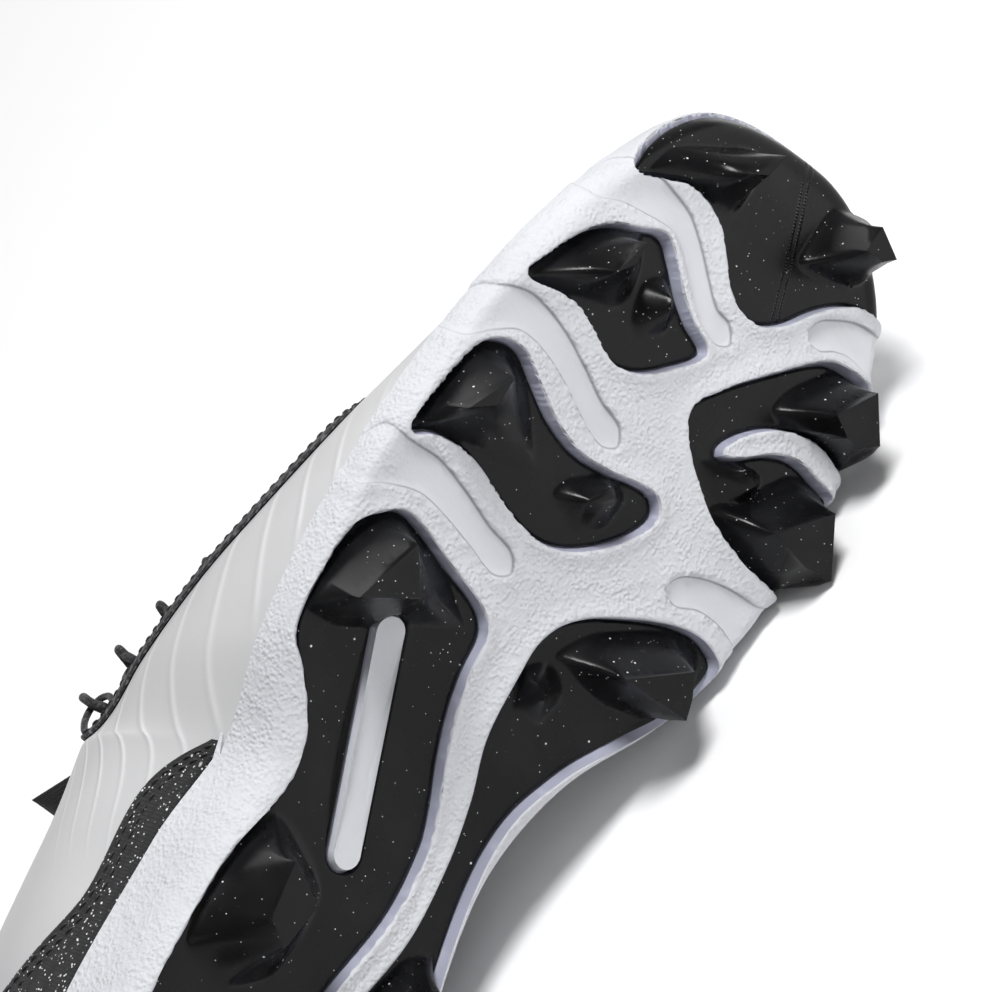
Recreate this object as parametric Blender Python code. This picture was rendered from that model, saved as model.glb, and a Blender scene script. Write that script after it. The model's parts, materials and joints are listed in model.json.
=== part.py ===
"""A right baseball cleat, lying on its inner side with the sole facing -Y.

Everything is shaped in the shoe's own frame first: x runs from the heel to the toe,
y to the inner side of the foot, z up from the plane of the stud tips. One ring of
stations round the sole drives the foam, the upper and all that is fitted to them.
"""
import math

import bmesh
import bpy
import numpy as np
from mathutils import Matrix, Vector
from mathutils.geometry import delaunay_2d_cdt

# Driving sizes, in metres
LENGTH = 0.302
BALL_WIDTH = 0.112
HEEL_WIDTH = 0.072
INSTEP_HEIGHT = 0.106
HEEL_HEIGHT = 0.094
STUD_HEIGHT = 0.011
LOW_STUD_HEIGHT = 0.0045
TOE_SPRING = 0.013
ARCH_RISE = 0.005
FOREFOOT_FOAM = 0.0062
HEEL_FOAM = 0.019
RIM_HEIGHT = 0.020
RIM_FLARE = 0.004
RIM_LIP = 0.0026
FOOT_INSET = 0.004
UPPER_WALL = 0.002
OVERLAY_WALL = 0.0012
PLATE_WALL = 0.0013
PLATE_RECESS = 0.0018
GROOVE_DEPTH = 0.0012
RECESS_FADE = 0.006
INSOLE_WALL = 0.004
TONGUE_WALL = 0.005
TONGUE_TOP = 0.020
LOOP_CORD = 0.0016
LOOP_SPAN = 0.009
LACE_CORD = 0.0022
FIT = 0.0003
LACE_FIT = 0.0009
POCKET_FIT = 0.0007
NORMAL_STEP = 0.002
SHARP_ANGLE = math.radians(35.0)

# Columns round the shoe, rows up it, cuts of the tongue, and how far apart the points
# lie that fill the foam, a plate and the insole
COLUMNS = 72
LOW_ROWS = 3
HIGH_ROWS = 7
TONGUE_ACROSS = 9
TONGUE_ALONG = 11
FOAM_SPACING = 0.015
PLATE_SPACING = 0.012
FLOOR_SPACING = 0.020

# One row for each station round the sole, from the toe tip by the outer side to the
# heel and back by the inner side. x and top_x are shares of the length. y and top_y
# are shares of the width named in "of". foot, flare and rim are shares of the foot
# inset, the rim flare and the rim height. rise, reach and drop, the handles of the
# upper's curve, are shares of the instep height. lean is outward travel per height.
# top_z is a share of the height named in "up".
STATION_COLUMNS = (
    "of", "x", "y", "foot", "flare", "rim", "lean",
    "up", "top_x", "top_y", "top_z", "rise", "reach", "drop",
)
STATIONS = (
    ("ball", 0.980, 0.140, 1.0, 1.4, 0.74, 0.00, "instep", 0.662, 0.040, 0.66, 0.14, 0.52, 0.06),
    ("ball", 0.958, -0.105, 1.0, 1.3, 0.70, -0.10, "instep", 0.658, -0.040, 0.66, 0.10, 0.36, 0.08),
    ("ball", 0.895, -0.255, 1.0, 1.0, 0.58, -0.25, "instep", 0.646, -0.110, 0.66, 0.08, 0.24, 0.12),
    ("ball", 0.790, -0.385, 1.0, 0.9, 0.48, -0.20, "instep", 0.615, -0.160, 0.69, 0.12, 0.16, 0.16),
    ("ball", 0.662, -0.455, 1.0, 0.8, 0.44, 0.00, "instep", 0.560, -0.185, 0.77, 0.20, 0.18, 0.16),
    ("ball", 0.546, -0.455, 0.8, 0.8, 0.44, 0.08, "instep", 0.494, -0.205, 0.86, 0.26, 0.20, 0.14),
    ("ball", 0.464, -0.400, 0.8, 1.2, 0.48, 0.16, "instep", 0.430, -0.210, 0.93, 0.30, 0.18, 0.13),
    ("ball", 0.390, -0.280, 0.5, 2.1, 0.74, 0.26, "instep", 0.372, -0.225, 0.97, 0.28, 0.16, 0.14),
    ("heel", 0.305, -0.470, 0.6, 1.5, 1.05, 0.16, "heel", 0.292, -0.450, 0.93, 0.22, 0.10, 0.16),
    ("heel", 0.166, -0.480, 0.9, 1.0, 1.15, 0.10, "heel", 0.182, -0.470, 0.83, 0.16, 0.04, 0.16),
    ("heel", 0.055, -0.340, 1.0, 0.9, 1.15, 0.06, "heel", 0.082, -0.320, 0.94, 0.18, 0.03, 0.18),
    ("heel", 0.018, 0.000, 1.0, 0.9, 1.15, 0.04, "heel", 0.038, 0.000, 1.00, 0.22, 0.03, 0.20),
    ("heel", 0.055, 0.340, 1.0, 0.9, 1.15, 0.06, "heel", 0.082, 0.320, 0.94, 0.18, 0.03, 0.18),
    ("heel", 0.166, 0.460, 0.9, 1.0, 1.15, 0.10, "heel", 0.182, 0.465, 0.83, 0.16, 0.04, 0.16),
    ("heel", 0.305, 0.350, 0.6, 1.6, 1.10, 0.18, "heel", 0.292, 0.445, 0.93, 0.20, 0.10, 0.16),
    ("ball", 0.414, 0.195, 0.5, 1.9, 0.95, 0.26, "instep", 0.372, 0.225, 0.97, 0.26, 0.14, 0.14),
    ("ball", 0.500, 0.240, 0.6, 1.5, 0.80, 0.24, "instep", 0.436, 0.215, 0.93, 0.30, 0.20, 0.13),
    ("ball", 0.612, 0.385, 0.8, 1.1, 0.60, 0.12, "instep", 0.510, 0.205, 0.85, 0.28, 0.26, 0.12),
    ("ball", 0.735, 0.445, 1.0, 1.0, 0.56, 0.06, "instep", 0.580, 0.185, 0.76, 0.25, 0.32, 0.12),
    ("ball", 0.834, 0.437, 1.0, 1.1, 0.58, 0.04, "instep", 0.630, 0.165, 0.68, 0.22, 0.38, 0.09),
    ("ball", 0.918, 0.385, 1.0, 1.3, 0.66, 0.00, "instep", 0.652, 0.125, 0.66, 0.18, 0.44, 0.07),
    ("ball", 0.966, 0.275, 1.0, 1.4, 0.72, 0.00, "instep", 0.660, 0.085, 0.66, 0.15, 0.50, 0.06),
)

# Plate outlines, in percent of the length and of the ball width, on the sole laid flat
PLATES = {
    "toe_plate": (
        (88.8, -29.0), (92.6, -27.8), (96.6, -21.5), (99.3, -12.0), (100.8, -1.0), (101.5, 10.0),
        (101.2, 21.0), (99.8, 31.0), (97.0, 39.5), (93.4, 44.5), (92.8, 34.5), (91.6, 28.7),
        (89.8, 23.5), (87.3, 17.9), (85.9, 12.7), (85.6, 7.8), (86.3, 3.2), (88.0, -1.0),
        (89.7, -5.3), (90.5, -10.4), (90.6, -16.3), (89.6, -22.2),
    ),
    "lateral_front_plate": (
        (85.8, -16.6), (84.7, -22.9), (83.7, -28.2), (81.7, -33.4), (78.7, -37.9), (76.7, -40.0),
        (77.3, -32.7), (77.5, -27.3), (76.9, -21.7), (76.1, -16.6), (76.0, -12.2), (76.8, -7.3),
        (78.3, -2.6), (81.0, 3.3), (81.9, -2.1), (83.1, -7.3), (84.7, -12.0),
    ),
    "medial_front_plate": (
        (76.9, 7.1), (79.6, 11.7), (83.7, 22.0), (86.9, 31.4), (87.6, 37.0), (87.6, 44.0),
        (86.0, 49.5), (80.8, 50.5), (81.6, 40.2), (81.5, 34.2), (80.3, 26.5), (78.3, 20.3),
        (76.4, 17.1), (75.6, 18.2), (76.5, 23.0), (78.2, 28.8), (79.1, 34.6), (79.0, 40.6),
        (78.2, 50.6), (74.5, 51.5), (70.8, 50.0), (70.6, 43.0), (70.8, 34.0), (71.7, 23.8),
        (73.4, 15.6), (74.9, 10.4),
    ),
    "lateral_ball_plate": (
        (62.6, -45.0), (63.4, -41.0), (63.9, -36.0), (63.8, -29.7), (63.0, -21.6), (62.4, -14.6),
        (62.3, -8.6), (62.9, -3.2), (64.2, 2.1), (65.7, 6.3), (67.6, 10.0), (69.0, 11.0),
        (69.9, 8.7), (69.7, 3.6), (69.1, -2.5), (68.7, -11.0), (69.4, -19.6), (70.8, -27.4),
        (71.8, -33.0), (71.5, -38.0), (70.2, -41.8), (66.5, -44.2),
    ),
    "lateral_rear_plate": (
        (54.4, -44.4), (56.2, -41.6), (57.5, -37.0), (57.3, -31.0), (56.5, -22.6), (55.6, -12.2),
        (54.5, -8.4), (51.7, -7.0), (48.8, -4.6), (45.6, -0.6), (42.7, 3.6), (40.0, 6.2),
        (35.0, 6.6), (28.0, 2.0), (20.0, -1.4), (12.0, -2.4), (4.6, -3.0), (3.8, -8.0),
        (6.0, -18.0), (10.0, -26.0), (16.0, -30.0), (24.0, -32.0), (31.0, -31.0), (36.0, -27.2),
        (39.2, -26.3), (42.0, -29.0), (44.6, -35.0), (47.0, -42.0), (50.5, -44.0),
    ),
    "medial_rear_plate": (
        (54.2, 3.6), (56.2, 3.5), (58.1, 5.5), (59.8, 10.0), (61.2, 16.0), (62.6, 23.0),
        (63.6, 30.0), (63.8, 36.5), (62.8, 42.0), (60.2, 42.0), (57.4, 38.0), (54.3, 31.4),
        (51.3, 25.5), (48.7, 22.3), (46.4, 20.1), (44.2, 19.2), (41.0, 19.4), (35.0, 22.0),
        (27.0, 27.0), (18.0, 30.0), (11.0, 27.0), (6.4, 18.0), (4.0, 8.0), (4.8, 3.4),
        (12.0, 3.2), (20.0, 4.4), (27.0, 8.0), (34.0, 13.0), (40.0, 12.9), (44.7, 10.0),
        (49.0, 5.3),
    ),
}

# Studs: the plate that each stands on, its kind, its tip and its base, in the same percents
STUDS = (
    ("toe_plate", "tall", ((94.9, -6.2), (92.2, -10.6), (92.9, -7.4)),
     ((89.2, -25.8), (92.1, -24.0), (94.9, -12.6), (97.0, -3.0), (94.6, -0.6),
      (91.4, -3.4), (91.0, -13.0))),
    ("toe_plate", "tall", ((96.0, 22.0), (94.9, 28.8), (94.0, 26.0), (93.8, 21.4)),
     ((92.0, 16.4), (94.8, 17.2), (98.1, 20.0), (99.4, 28.0), (96.9, 35.8), (93.8, 31.2))),
    ("lateral_front_plate", "tall", ((82.5, -26.6), (79.4, -29.1), (80.9, -26.2)),
     ((76.9, -39.2), (81.6, -33.0), (83.8, -27.6), (85.2, -20.7), (82.4, -16.5),
      (79.0, -18.5), (77.8, -28.4))),
    ("lateral_front_plate", "low", ((81.9, -11.2), (81.0, -10.2)),
     ((82.2, -15.4), (83.8, -12.0), (82.7, -6.6), (80.3, -5.7), (78.8, -10.2), (79.3, -14.2))),
    ("medial_front_plate", "tall", ((85.7, 37.3), (82.8, 43.4), (81.2, 38.8), (82.4, 31.3)),
     ((81.3, 25.0), (83.8, 26.9), (86.9, 34.0), (87.8, 42.7), (84.3, 49.9), (80.9, 47.0),
      (80.6, 37.7))),
    ("medial_front_plate", "tall", ((76.5, 41.1), (72.6, 45.3), (72.0, 41.1), (72.5, 31.3)),
     ((72.2, 22.0), (75.3, 28.6), (78.4, 35.8), (78.8, 45.4), (74.4, 50.9), (70.6, 46.8),
      (70.9, 34.7))),
    ("medial_front_plate", "low", ((75.7, 23.0), (75.2, 26.3)),
     ((74.6, 14.5), (76.0, 20.1), (76.9, 29.9), (75.2, 31.6), (73.0, 27.6), (73.2, 19.8))),
    ("lateral_ball_plate", "tall", ((68.9, -37.6), (65.2, -42.7), (66.6, -37.8)),
     ((63.0, -44.2), (66.3, -43.6), (70.0, -42.1), (71.5, -36.0), (70.5, -27.9),
      (66.3, -16.4), (65.0, -23.7),
      (64.4, -33.4))),
    ("lateral_ball_plate", "low", ((68.1, -2.8), (67.6, -0.8), (66.3, -5.6)),
     ((65.5, -10.8), (67.2, -9.3), (69.2, -1.4), (68.9, 4.4), (66.0, 3.9), (64.5, -0.4), (64.9, -6.4))),
    ("lateral_rear_plate", "tall", ((55.7, -37.4), (53.0, -30.9), (50.4, -42.3)),
     ((53.9, -43.8), (56.1, -41.2), (57.3, -36.0), (56.4, -22.6), (54.0, -10.3),
      (52.0, -21.0), (48.6, -34.1),
      (48.4, -43.8))),
    ("lateral_rear_plate", "tall", ((32.5, -25.8), (28.4, -24.4), (27.6, -18.6), (31.0, -16.8)),
     ((36.2, -25.2), (30.0, -30.6), (25.0, -29.8), (24.0, -17.4), (26.8, -9.6), (33.6, -8.6))),
    ("lateral_rear_plate", "tall", ((12.6, -19.6), (9.0, -13.4), (9.6, -9.6), (14.2, -12.4)),
     ((17.0, -26.6), (10.4, -24.8), (5.2, -15.0), (5.4, -5.4), (11.4, -4.4), (18.4, -11.6))),
    ("medial_rear_plate", "tall", ((57.4, 17.3), (60.9, 30.3), (59.2, 32.9), (57.8, 33.8)),
     ((56.4, 8.6), (59.9, 14.1), (63.0, 27.6), (63.3, 36.9), (60.4, 41.4), (57.6, 36.9), (55.8, 22.2))),
    ("medial_rear_plate", "low", ((53.8, 5.9), (53.2, 8.6)),
     ((51.6, 7.4), (54.2, 4.2), (56.0, 7.9), (54.9, 15.4), (51.8, 14.3))),
    ("medial_rear_plate", "tall", ((31.0, 20.6), (27.6, 23.4), (26.6, 17.6), (29.8, 14.6)),
     ((34.6, 20.2), (29.4, 24.8), (24.4, 27.2), (22.4, 16.2), (26.4, 10.0), (33.0, 14.6))),
    ("medial_rear_plate", "tall", ((14.2, 22.6), (10.2, 18.0), (9.6, 12.6), (14.0, 13.4)),
     ((19.0, 27.6), (11.2, 25.4), (6.4, 16.0), (5.6, 6.0), (12.4, 5.0), (18.8, 10.6))),
)

# Grooves in the foam, as centre lines in the same percents, with half their width
GROOVE_HALF_WIDTH = 0.0034
GROOVES = {
    "front_outer": ((87.5, -28.6), (87.8, -20.5), (87.7, -14.5), (86.7, -9.8),
                    (85.0, -4.6), (83.5, 0.6), (83.1, 5.6)),
    "front_inner": ((90.1, 41.5), (90.0, 35.4), (89.2, 30.4), (88.2, 26.6)),
    "ball_outer": ((73.4, -42.5), (74.4, -36.2), (74.2, -28.3), (73.2, -20.2),
                   (72.0, -12.9), (71.4, -6.6)),
    "waist_outer": ((60.2, -44.0), (60.8, -36.2), (60.4, -28.2), (59.7, -20.1), (59.2, -12.8)),
    "waist_inner": ((67.0, 42.0), (67.1, 36.4), (66.7, 30.0), (65.7, 24.4)),
}

# The slot in the lateral rear plate that shows the foam, in the same percents
SLOT = {"front": (50.6, -25.0), "rear": (36.6, -8.0), "half_width": 0.0042}
SLOT_TURNS = 5

# Places along the shoe, as shares of the length
EYESTAY_END = 0.375
EYESTAY_WIDEST = 0.552
REAR_PANEL_END = 0.405
THROAT_END = 0.372
TONGUE_FRONT = 0.700
LOOPS_FRONT = 0.600
LOOPS_REAR = 0.400
LOOP_COUNT = 6
TONGUE_CROWN = 0.001
TONGUE_WAIST = 0.49
TONGUE_NARROWING = 0.35

# The lower edge of the band round the throat, as a share of the upper's wall, and how
# much higher it lies for each length toward the heel and toward the toe
EYESTAY_LOWEST = 0.34
EYESTAY_REAR_RISE = 2.5
EYESTAY_FRONT_RISE = 3.5

# The top edge of the rear panel, as shares of the upper's wall: its foot, its blunt front
# tip, its height along the side, and its rise from the tip and toward the heel
PANEL_FOOT = 0.03
PANEL_TIP = 0.02
PANEL_SIDE = 0.225
PANEL_FRONT_RISE = 2.9
PANEL_HEEL = 0.25
PANEL_REAR_RISE = 4.2

# The loops' noses stand over the edge band by one lace
NOSE_HEIGHT = FIT + OVERLAY_WALL + 2 * FIT + LACE_CORD + LACE_FIT + LOOP_CORD / 2
LOOP_DROP = NOSE_HEIGHT - (FIT + OVERLAY_WALL + 2 * FIT + LOOP_CORD / 2)

# Where the foam's side wall bends, as shares of its length
BENDS = (0.0, 0.12, 0.27, 0.55)

# Where the sole bends, as shares of the length
TOE_BREAK = 0.68
TIP_SPRING = 0.85
ARCH_PLACE = 0.41
ARCH_SPREAD = 0.126
FOAM_STEP = (0.26, 0.50)


def smooth_step(value):
    value = np.clip(value, 0.0, 1.0)
    return value * value * (3.0 - 2.0 * value)


def tread_height(x):
    """Height of the flat underside of the foam at x."""
    toe = np.clip(x / LENGTH - TOE_BREAK, 0.0, None) / (1.0 - TOE_BREAK)
    arch = np.exp(-(((x / LENGTH) - ARCH_PLACE) / ARCH_SPREAD) ** 2)
    return STUD_HEIGHT + TOE_SPRING * toe**2 + ARCH_RISE * arch


def footbed_height(x):
    """Height of the floor of the foam's dish at x."""
    low, high = FOAM_STEP
    fore = smooth_step((x / LENGTH - low) / (high - low))
    return tread_height(x) + HEEL_FOAM * (1.0 - fore) + FOREFOOT_FOAM * fore


def hermite(rows, places, wanted, period):
    """Smooth periodic curve through rows, at the wanted distances along it."""
    count = len(rows)
    wanted = np.mod(wanted, period)
    start = np.clip(np.searchsorted(places, wanted, side="right") - 1, 0, count - 1)
    after = (start + 1) % count
    gap = np.append(places[1:], period) - places
    before_gap = np.roll(gap, 1)
    slope = (np.roll(rows, -1, axis=0) - np.roll(rows, 1, axis=0)) / (gap + before_gap)[:, None]
    span = gap[start][:, None]
    t = ((wanted - places[start]) / gap[start])[:, None]
    return (
        rows[start] * (2 * t**3 - 3 * t**2 + 1)
        + rows[after] * (3 * t**2 - 2 * t**3)
        + slope[start] * span * (t**3 - 2 * t**2 + t)
        + slope[after] * span * (t**3 - t**2)
    )


def closed_curve(points, count):
    """count points spaced evenly along a smooth closed curve through the given points."""
    points = np.asarray(points, float)
    steps = np.linalg.norm(np.roll(points[:, :2], -1, axis=0) - points[:, :2], axis=1)
    places = np.concatenate([[0.0], np.cumsum(steps)[:-1]])
    period = steps.sum()
    fine_at = np.linspace(0.0, period, 1600, endpoint=False)
    fine = hermite(points, places, fine_at, period)
    lengths = np.linalg.norm(np.roll(fine[:, :2], -1, axis=0) - fine[:, :2], axis=1)
    along = np.concatenate([[0.0], np.cumsum(lengths)])
    even = np.linspace(0.0, along[-1], count, endpoint=False)
    return hermite(points, places, np.interp(even, along, np.append(fine_at, period)), period)


def station_rows():
    """The stations in metres: x, y, foot, flare, rim, lean, top x, y, z, rise, reach, drop."""
    widths = {"ball": BALL_WIDTH, "heel": HEEL_WIDTH}
    heights = {"instep": INSTEP_HEIGHT, "heel": HEEL_HEIGHT}
    rows = []
    for station in STATIONS:
        row = dict(zip(STATION_COLUMNS, station))
        width = widths[row["of"]]
        rows.append((
            row["x"] * LENGTH, row["y"] * width, row["foot"] * FOOT_INSET,
            row["flare"] * RIM_FLARE, row["rim"] * RIM_HEIGHT, row["lean"],
            row["top_x"] * LENGTH, row["top_y"] * width, row["top_z"] * heights[row["up"]],
            row["rise"] * INSTEP_HEIGHT, row["reach"] * INSTEP_HEIGHT, row["drop"] * INSTEP_HEIGHT,
        ))
    return np.array(rows)


def outward_of(loop):
    """Unit normals in plan of a closed loop that runs from the toe by the outer side."""
    along = np.roll(loop, -1, axis=0) - np.roll(loop, 1, axis=0)
    across = np.stack([-along[:, 1], along[:, 0]], axis=1)
    return across / np.linalg.norm(across, axis=1)[:, None]


class Ring:
    """The stations read at evenly spaced columns round the tread edge."""

    def __init__(self, count):
        values = closed_curve(station_rows(), count)
        self.edge = values[:, :2]
        self.out = outward_of(self.edge)
        self.foot, self.flare, self.rim, self.lean = values[:, 2:6].T
        self.top = values[:, 6:9]
        self.rise, self.reach, self.drop = values[:, 9:12].T
        self.edge_z = tread_height(self.edge[:, 0])
        slope = (tread_height(self.edge[:, 0] + 1e-4) - self.edge_z) / 1e-4
        self.slope = slope * self.out[:, 0]


def bezier(points, t):
    """Cubic curve through four control points, with t broadcast over them."""
    first, second, third, fourth = points
    return (
        first * (1 - t) ** 3 + second * 3 * t * (1 - t) ** 2
        + third * 3 * t**2 * (1 - t) + fourth * t**3
    )


def wall_controls(slope, flare, rim, lean):
    """The foam wall from the tread edge to its rim: how far out and how far up."""
    first = np.stack([np.zeros_like(rim), np.zeros_like(rim)], axis=-1)
    handle = 0.20 * rim + 0.45 * flare
    second = np.stack([handle, handle * slope], axis=-1)
    fourth = np.stack([flare, rim], axis=-1)
    third = fourth - np.stack([lean, np.ones_like(rim)], axis=-1) * (0.42 * rim)[..., None]
    return first, second, third, fourth


def wall_length(ring):
    steps = np.linspace(0.0, 1.0, 13)[:, None, None]
    walls = bezier(wall_controls(ring.slope, ring.flare, ring.rim, ring.lean), steps)
    return np.linalg.norm(np.diff(walls, axis=0), axis=2).sum(axis=0)


FINE = Ring(720)
FINE_WALL = wall_length(FINE)


def beside_edge(plan):
    """For each plan point: nearest place on the tread edge, distance outside it, direction."""
    start = FINE.edge
    step = np.roll(start, -1, axis=0) - start
    length2 = (step**2).sum(axis=1)
    place = np.empty(len(plan))
    distance = np.empty(len(plan))
    away = np.empty((len(plan), 2))
    for low in range(0, len(plan), 2000):
        part = plan[low:low + 2000]
        gap = part[:, None] - start[None]
        share = np.clip((gap * step[None]).sum(axis=2) / length2, 0.0, 1.0)
        rest = gap - share[..., None] * step[None]
        size = np.linalg.norm(rest, axis=2)
        best = size.argmin(axis=1)
        rows = np.arange(len(part))
        place[low:low + 2000] = best + share[rows, best]
        distance[low:low + 2000] = size[rows, best]
        away[low:low + 2000] = rest[rows, best]
    index = place.astype(int) % len(start)
    side = (away * FINE.out[index]).sum(axis=1)
    return place, np.where(side > 0, distance, -distance), away


def at_place(values, place):
    """Values of the fine ring at fractional places along it."""
    low = np.floor(place).astype(int)
    share = place - low
    if values.ndim > 1:
        share = share[:, None]
    count = len(values)
    return values[low % count] * (1 - share) + values[(low + 1) % count] * share


def sheet(plan):
    """The foam's outside: flat plan points bent onto the underside and up the side wall."""
    plan = np.asarray(plan, float)
    place, distance, away = beside_edge(plan)
    outside = distance > 1e-9
    points = np.column_stack([plan, tread_height(plan[:, 0])])
    if outside.any():
        spot = place[outside]
        edge = at_place(FINE.edge, spot)
        direction = away[outside] / np.linalg.norm(away[outside], axis=1)[:, None]
        share = np.clip(distance[outside] / at_place(FINE_WALL, spot), 0.0, 1.2)[:, None]
        controls = wall_controls(
            at_place(FINE.slope, spot), at_place(FINE.flare, spot),
            at_place(FINE.rim, spot), at_place(FINE.lean, spot),
        )
        wall = bezier(controls, share)
        points[outside, :2] = edge + direction * wall[:, :1]
        points[outside, 2] = at_place(FINE.edge_z, spot) + wall[:, 1]
    return points


def lifted(plan, height):
    """The sheet's points moved off it by height, away from the foam."""
    plan = np.asarray(plan, float)
    step = NORMAL_STEP
    along_x = sheet(plan + (step, 0)) - sheet(plan - (step, 0))
    along_y = sheet(plan + (0, step)) - sheet(plan - (0, step))
    normal = -np.cross(along_x, along_y)
    normal /= np.linalg.norm(normal, axis=1)[:, None]
    return sheet(plan) + normal * np.asarray(height, float).reshape(-1, 1)


def plate_recess(plan):
    """How far a plate lies below the foam: full under the sole, none where it wraps up the side."""
    _, distance, _ = beside_edge(np.asarray(plan, float))
    return PLATE_RECESS * smooth_step(1.0 - distance / RECESS_FADE)


def percent(points):
    return np.asarray(points, float) * (LENGTH / 100.0, BALL_WIDTH / 100.0)


def inside(polygon, points):
    """Which of the points lie inside a plan polygon."""
    polygon = np.asarray(polygon)
    points = np.asarray(points)
    start, end = polygon, np.roll(polygon, -1, axis=0)
    found = np.zeros(len(points), bool)
    for (ax, ay), (bx, by) in zip(start, end):
        crosses = (ay > points[:, 1]) != (by > points[:, 1])
        with np.errstate(divide="ignore", invalid="ignore"):
            at = ax + (points[:, 1] - ay) * (bx - ax) / (by - ay)
        found ^= crosses & (points[:, 0] < at)
    return found


def distance_to(polygon, points):
    """Distance of each point from a plan outline."""
    polygon = np.asarray(polygon)
    points = np.asarray(points)
    best = np.full(len(points), np.inf)
    for a, b in zip(polygon, np.roll(polygon, -1, axis=0)):
        step = b - a
        share = np.clip(((points - a) @ step) / max(step @ step, 1e-18), 0.0, 1.0)
        best = np.minimum(best, np.linalg.norm(points - a - share[:, None] * step, axis=1))
    return best


def grown(outline, by):
    """A plan outline moved outward by a distance."""
    area = np.sum(outline[:, 0] * np.roll(outline[:, 1], -1) - outline[:, 1] * np.roll(outline[:, 0], -1))
    return outline - outward_of(outline) * by * math.copysign(1.0, area)


def plate_outline(name):
    points = percent(PLATES[name])
    return closed_curve(points, 2 * len(points))


def groove_outline(name):
    """A groove's outline: its centre line widened to both sides, with round ends."""
    line = percent(GROOVES[name])
    along = np.gradient(line, axis=0)
    along /= np.linalg.norm(along, axis=1)[:, None]
    across = np.column_stack([-along[:, 1], along[:, 0]]) * GROOVE_HALF_WIDTH
    head = line[:1] - along[:1] * GROOVE_HALF_WIDTH
    tail = line[-1:] + along[-1:] * GROOVE_HALF_WIDTH
    points = np.concatenate([head, line + across, tail, (line - across)[::-1]])
    return closed_curve(points, 2 * len(points))


def slot_outline(by):
    """A straight slot with round ends, in plan, widened by a distance."""
    front, rear = percent((SLOT["front"], SLOT["rear"]))
    along = (front - rear) / np.linalg.norm(front - rear)
    across = np.array([-along[1], along[0]])
    angles = np.linspace(-math.pi / 2, math.pi / 2, SLOT_TURNS)
    radius = SLOT["half_width"] + by
    nose = [front + radius * (math.cos(a) * along + math.sin(a) * across) for a in angles]
    tail = [rear - radius * (math.cos(a) * along + math.sin(a) * across) for a in angles]
    return np.array(nose + tail)


def tip_level(x):
    """Height of the stud tips at x: the ground plane, and a little up under the toe spring."""
    toe = np.clip(x / LENGTH - TOE_BREAK, 0.0, None) / (1.0 - TOE_BREAK)
    return TIP_SPRING * TOE_SPRING * toe**2


def studs_of(name):
    """The studs of a plate: height over its face, level of the tip, tip and base in plan."""
    found = []
    for plate_name, kind, tip, base in STUDS:
        if plate_name != name:
            continue
        tip, base = percent(tip), percent(base)
        centre = tip[:, 0].mean()
        level = tip_level(centre) if kind == "tall" else None
        tall = tread_height(centre) - level if kind == "tall" else LOW_STUD_HEIGHT
        found.append((tall + PLATE_RECESS, level, tip, base))
    return found


def stud_height(name, points):
    """How far the studs of a plate stand above its face at plan points."""
    height = np.zeros(len(points))
    for tall, _, tip, base in studs_of(name):
        to_tip = distance_to(tip, points)
        if len(tip) > 2:
            to_tip = np.where(inside(tip, points), 0.0, to_tip)
        to_base = distance_to(base, points)
        share = np.where(inside(base, points), to_base / (to_base + to_tip + 1e-12), 0.0)
        height = np.maximum(height, tall * share)
    return height


def plate_face(name, points):
    """The plate's outer face, with each tall stud's tip made level."""
    height = stud_height(name, points)
    face = lifted(points, height - plate_recess(points))
    for tall, level, tip, _ in studs_of(name):
        if level is not None:
            on_tip = (distance_to(tip, points) < 1e-6) | (inside(tip, points))
            face[on_tip, 2] = level
    return face


def on_grid(outline, spacing):
    """Grid points inside an outline, a quarter of their spacing clear of its edge."""
    low, high = outline.min(axis=0), outline.max(axis=0)
    xs = np.arange(low[0] + spacing / 2, high[0], spacing)
    ys = np.arange(low[1] + spacing / 2, high[1], spacing)
    grid = np.stack(np.meshgrid(xs, ys, indexing="ij"), axis=-1).reshape(-1, 2)
    grid = grid[inside(outline, grid)]
    return grid[distance_to(outline, grid) > spacing / 4]


def triangulated(loops, loose):
    """Constrained Delaunay triangles inside the first loop, keeping every loop's edges."""
    points, edges = [], []
    for loop in loops:
        first = len(points)
        points += [Vector(p) for p in loop]
        if len(loop) > 2:
            edges += [(first + i, first + (i + 1) % len(loop)) for i in range(len(loop))]
        else:
            edges.append((first, first + 1))
    points += [Vector(p) for p in loose]
    flat, _, faces, _, _, _ = delaunay_2d_cdt(points, edges, [], 1, 1e-7)
    return np.array([tuple(p) for p in flat]), [tuple(f) for f in faces]


def new_object(name, bm, collection, paint):
    """A finished bmesh as an object with its own material, shaded smooth but for sharp edges."""
    bmesh.ops.recalc_face_normals(bm, faces=bm.faces)
    if bm.calc_volume(signed=True) < 0:
        bmesh.ops.reverse_faces(bm, faces=bm.faces)
    for face in bm.faces:
        face.smooth = True
    for edge in bm.edges:
        edge.smooth = edge.calc_face_angle(0.0) < SHARP_ANGLE
    mesh = bpy.data.meshes.new(name)
    bm.to_mesh(mesh)
    bm.free()
    obj = bpy.data.objects.new(name, mesh)
    collection.objects.link(obj)
    colour, roughness = paint
    material = bpy.data.materials.new(name + "_material")
    material.use_nodes = True
    shader = material.node_tree.nodes["Principled BSDF"]
    shader.inputs["Base Color"].default_value = (*colour, 1.0)
    shader.inputs["Roughness"].default_value = roughness
    shader.inputs["Metallic"].default_value = 0.0
    mesh.materials.append(material)
    return obj


def add_patch(bm, points, faces):
    verts = [bm.verts.new(p) for p in points]
    return verts, [bm.faces.new([verts[i] for i in face]) for face in faces]


def border_of(faces):
    """The edges round a set of faces."""
    edges = {}
    for face in faces:
        for edge in face.edges:
            edges[edge] = edges.get(edge, 0) + 1
    return [edge for edge, count in edges.items() if count == 1]


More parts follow.
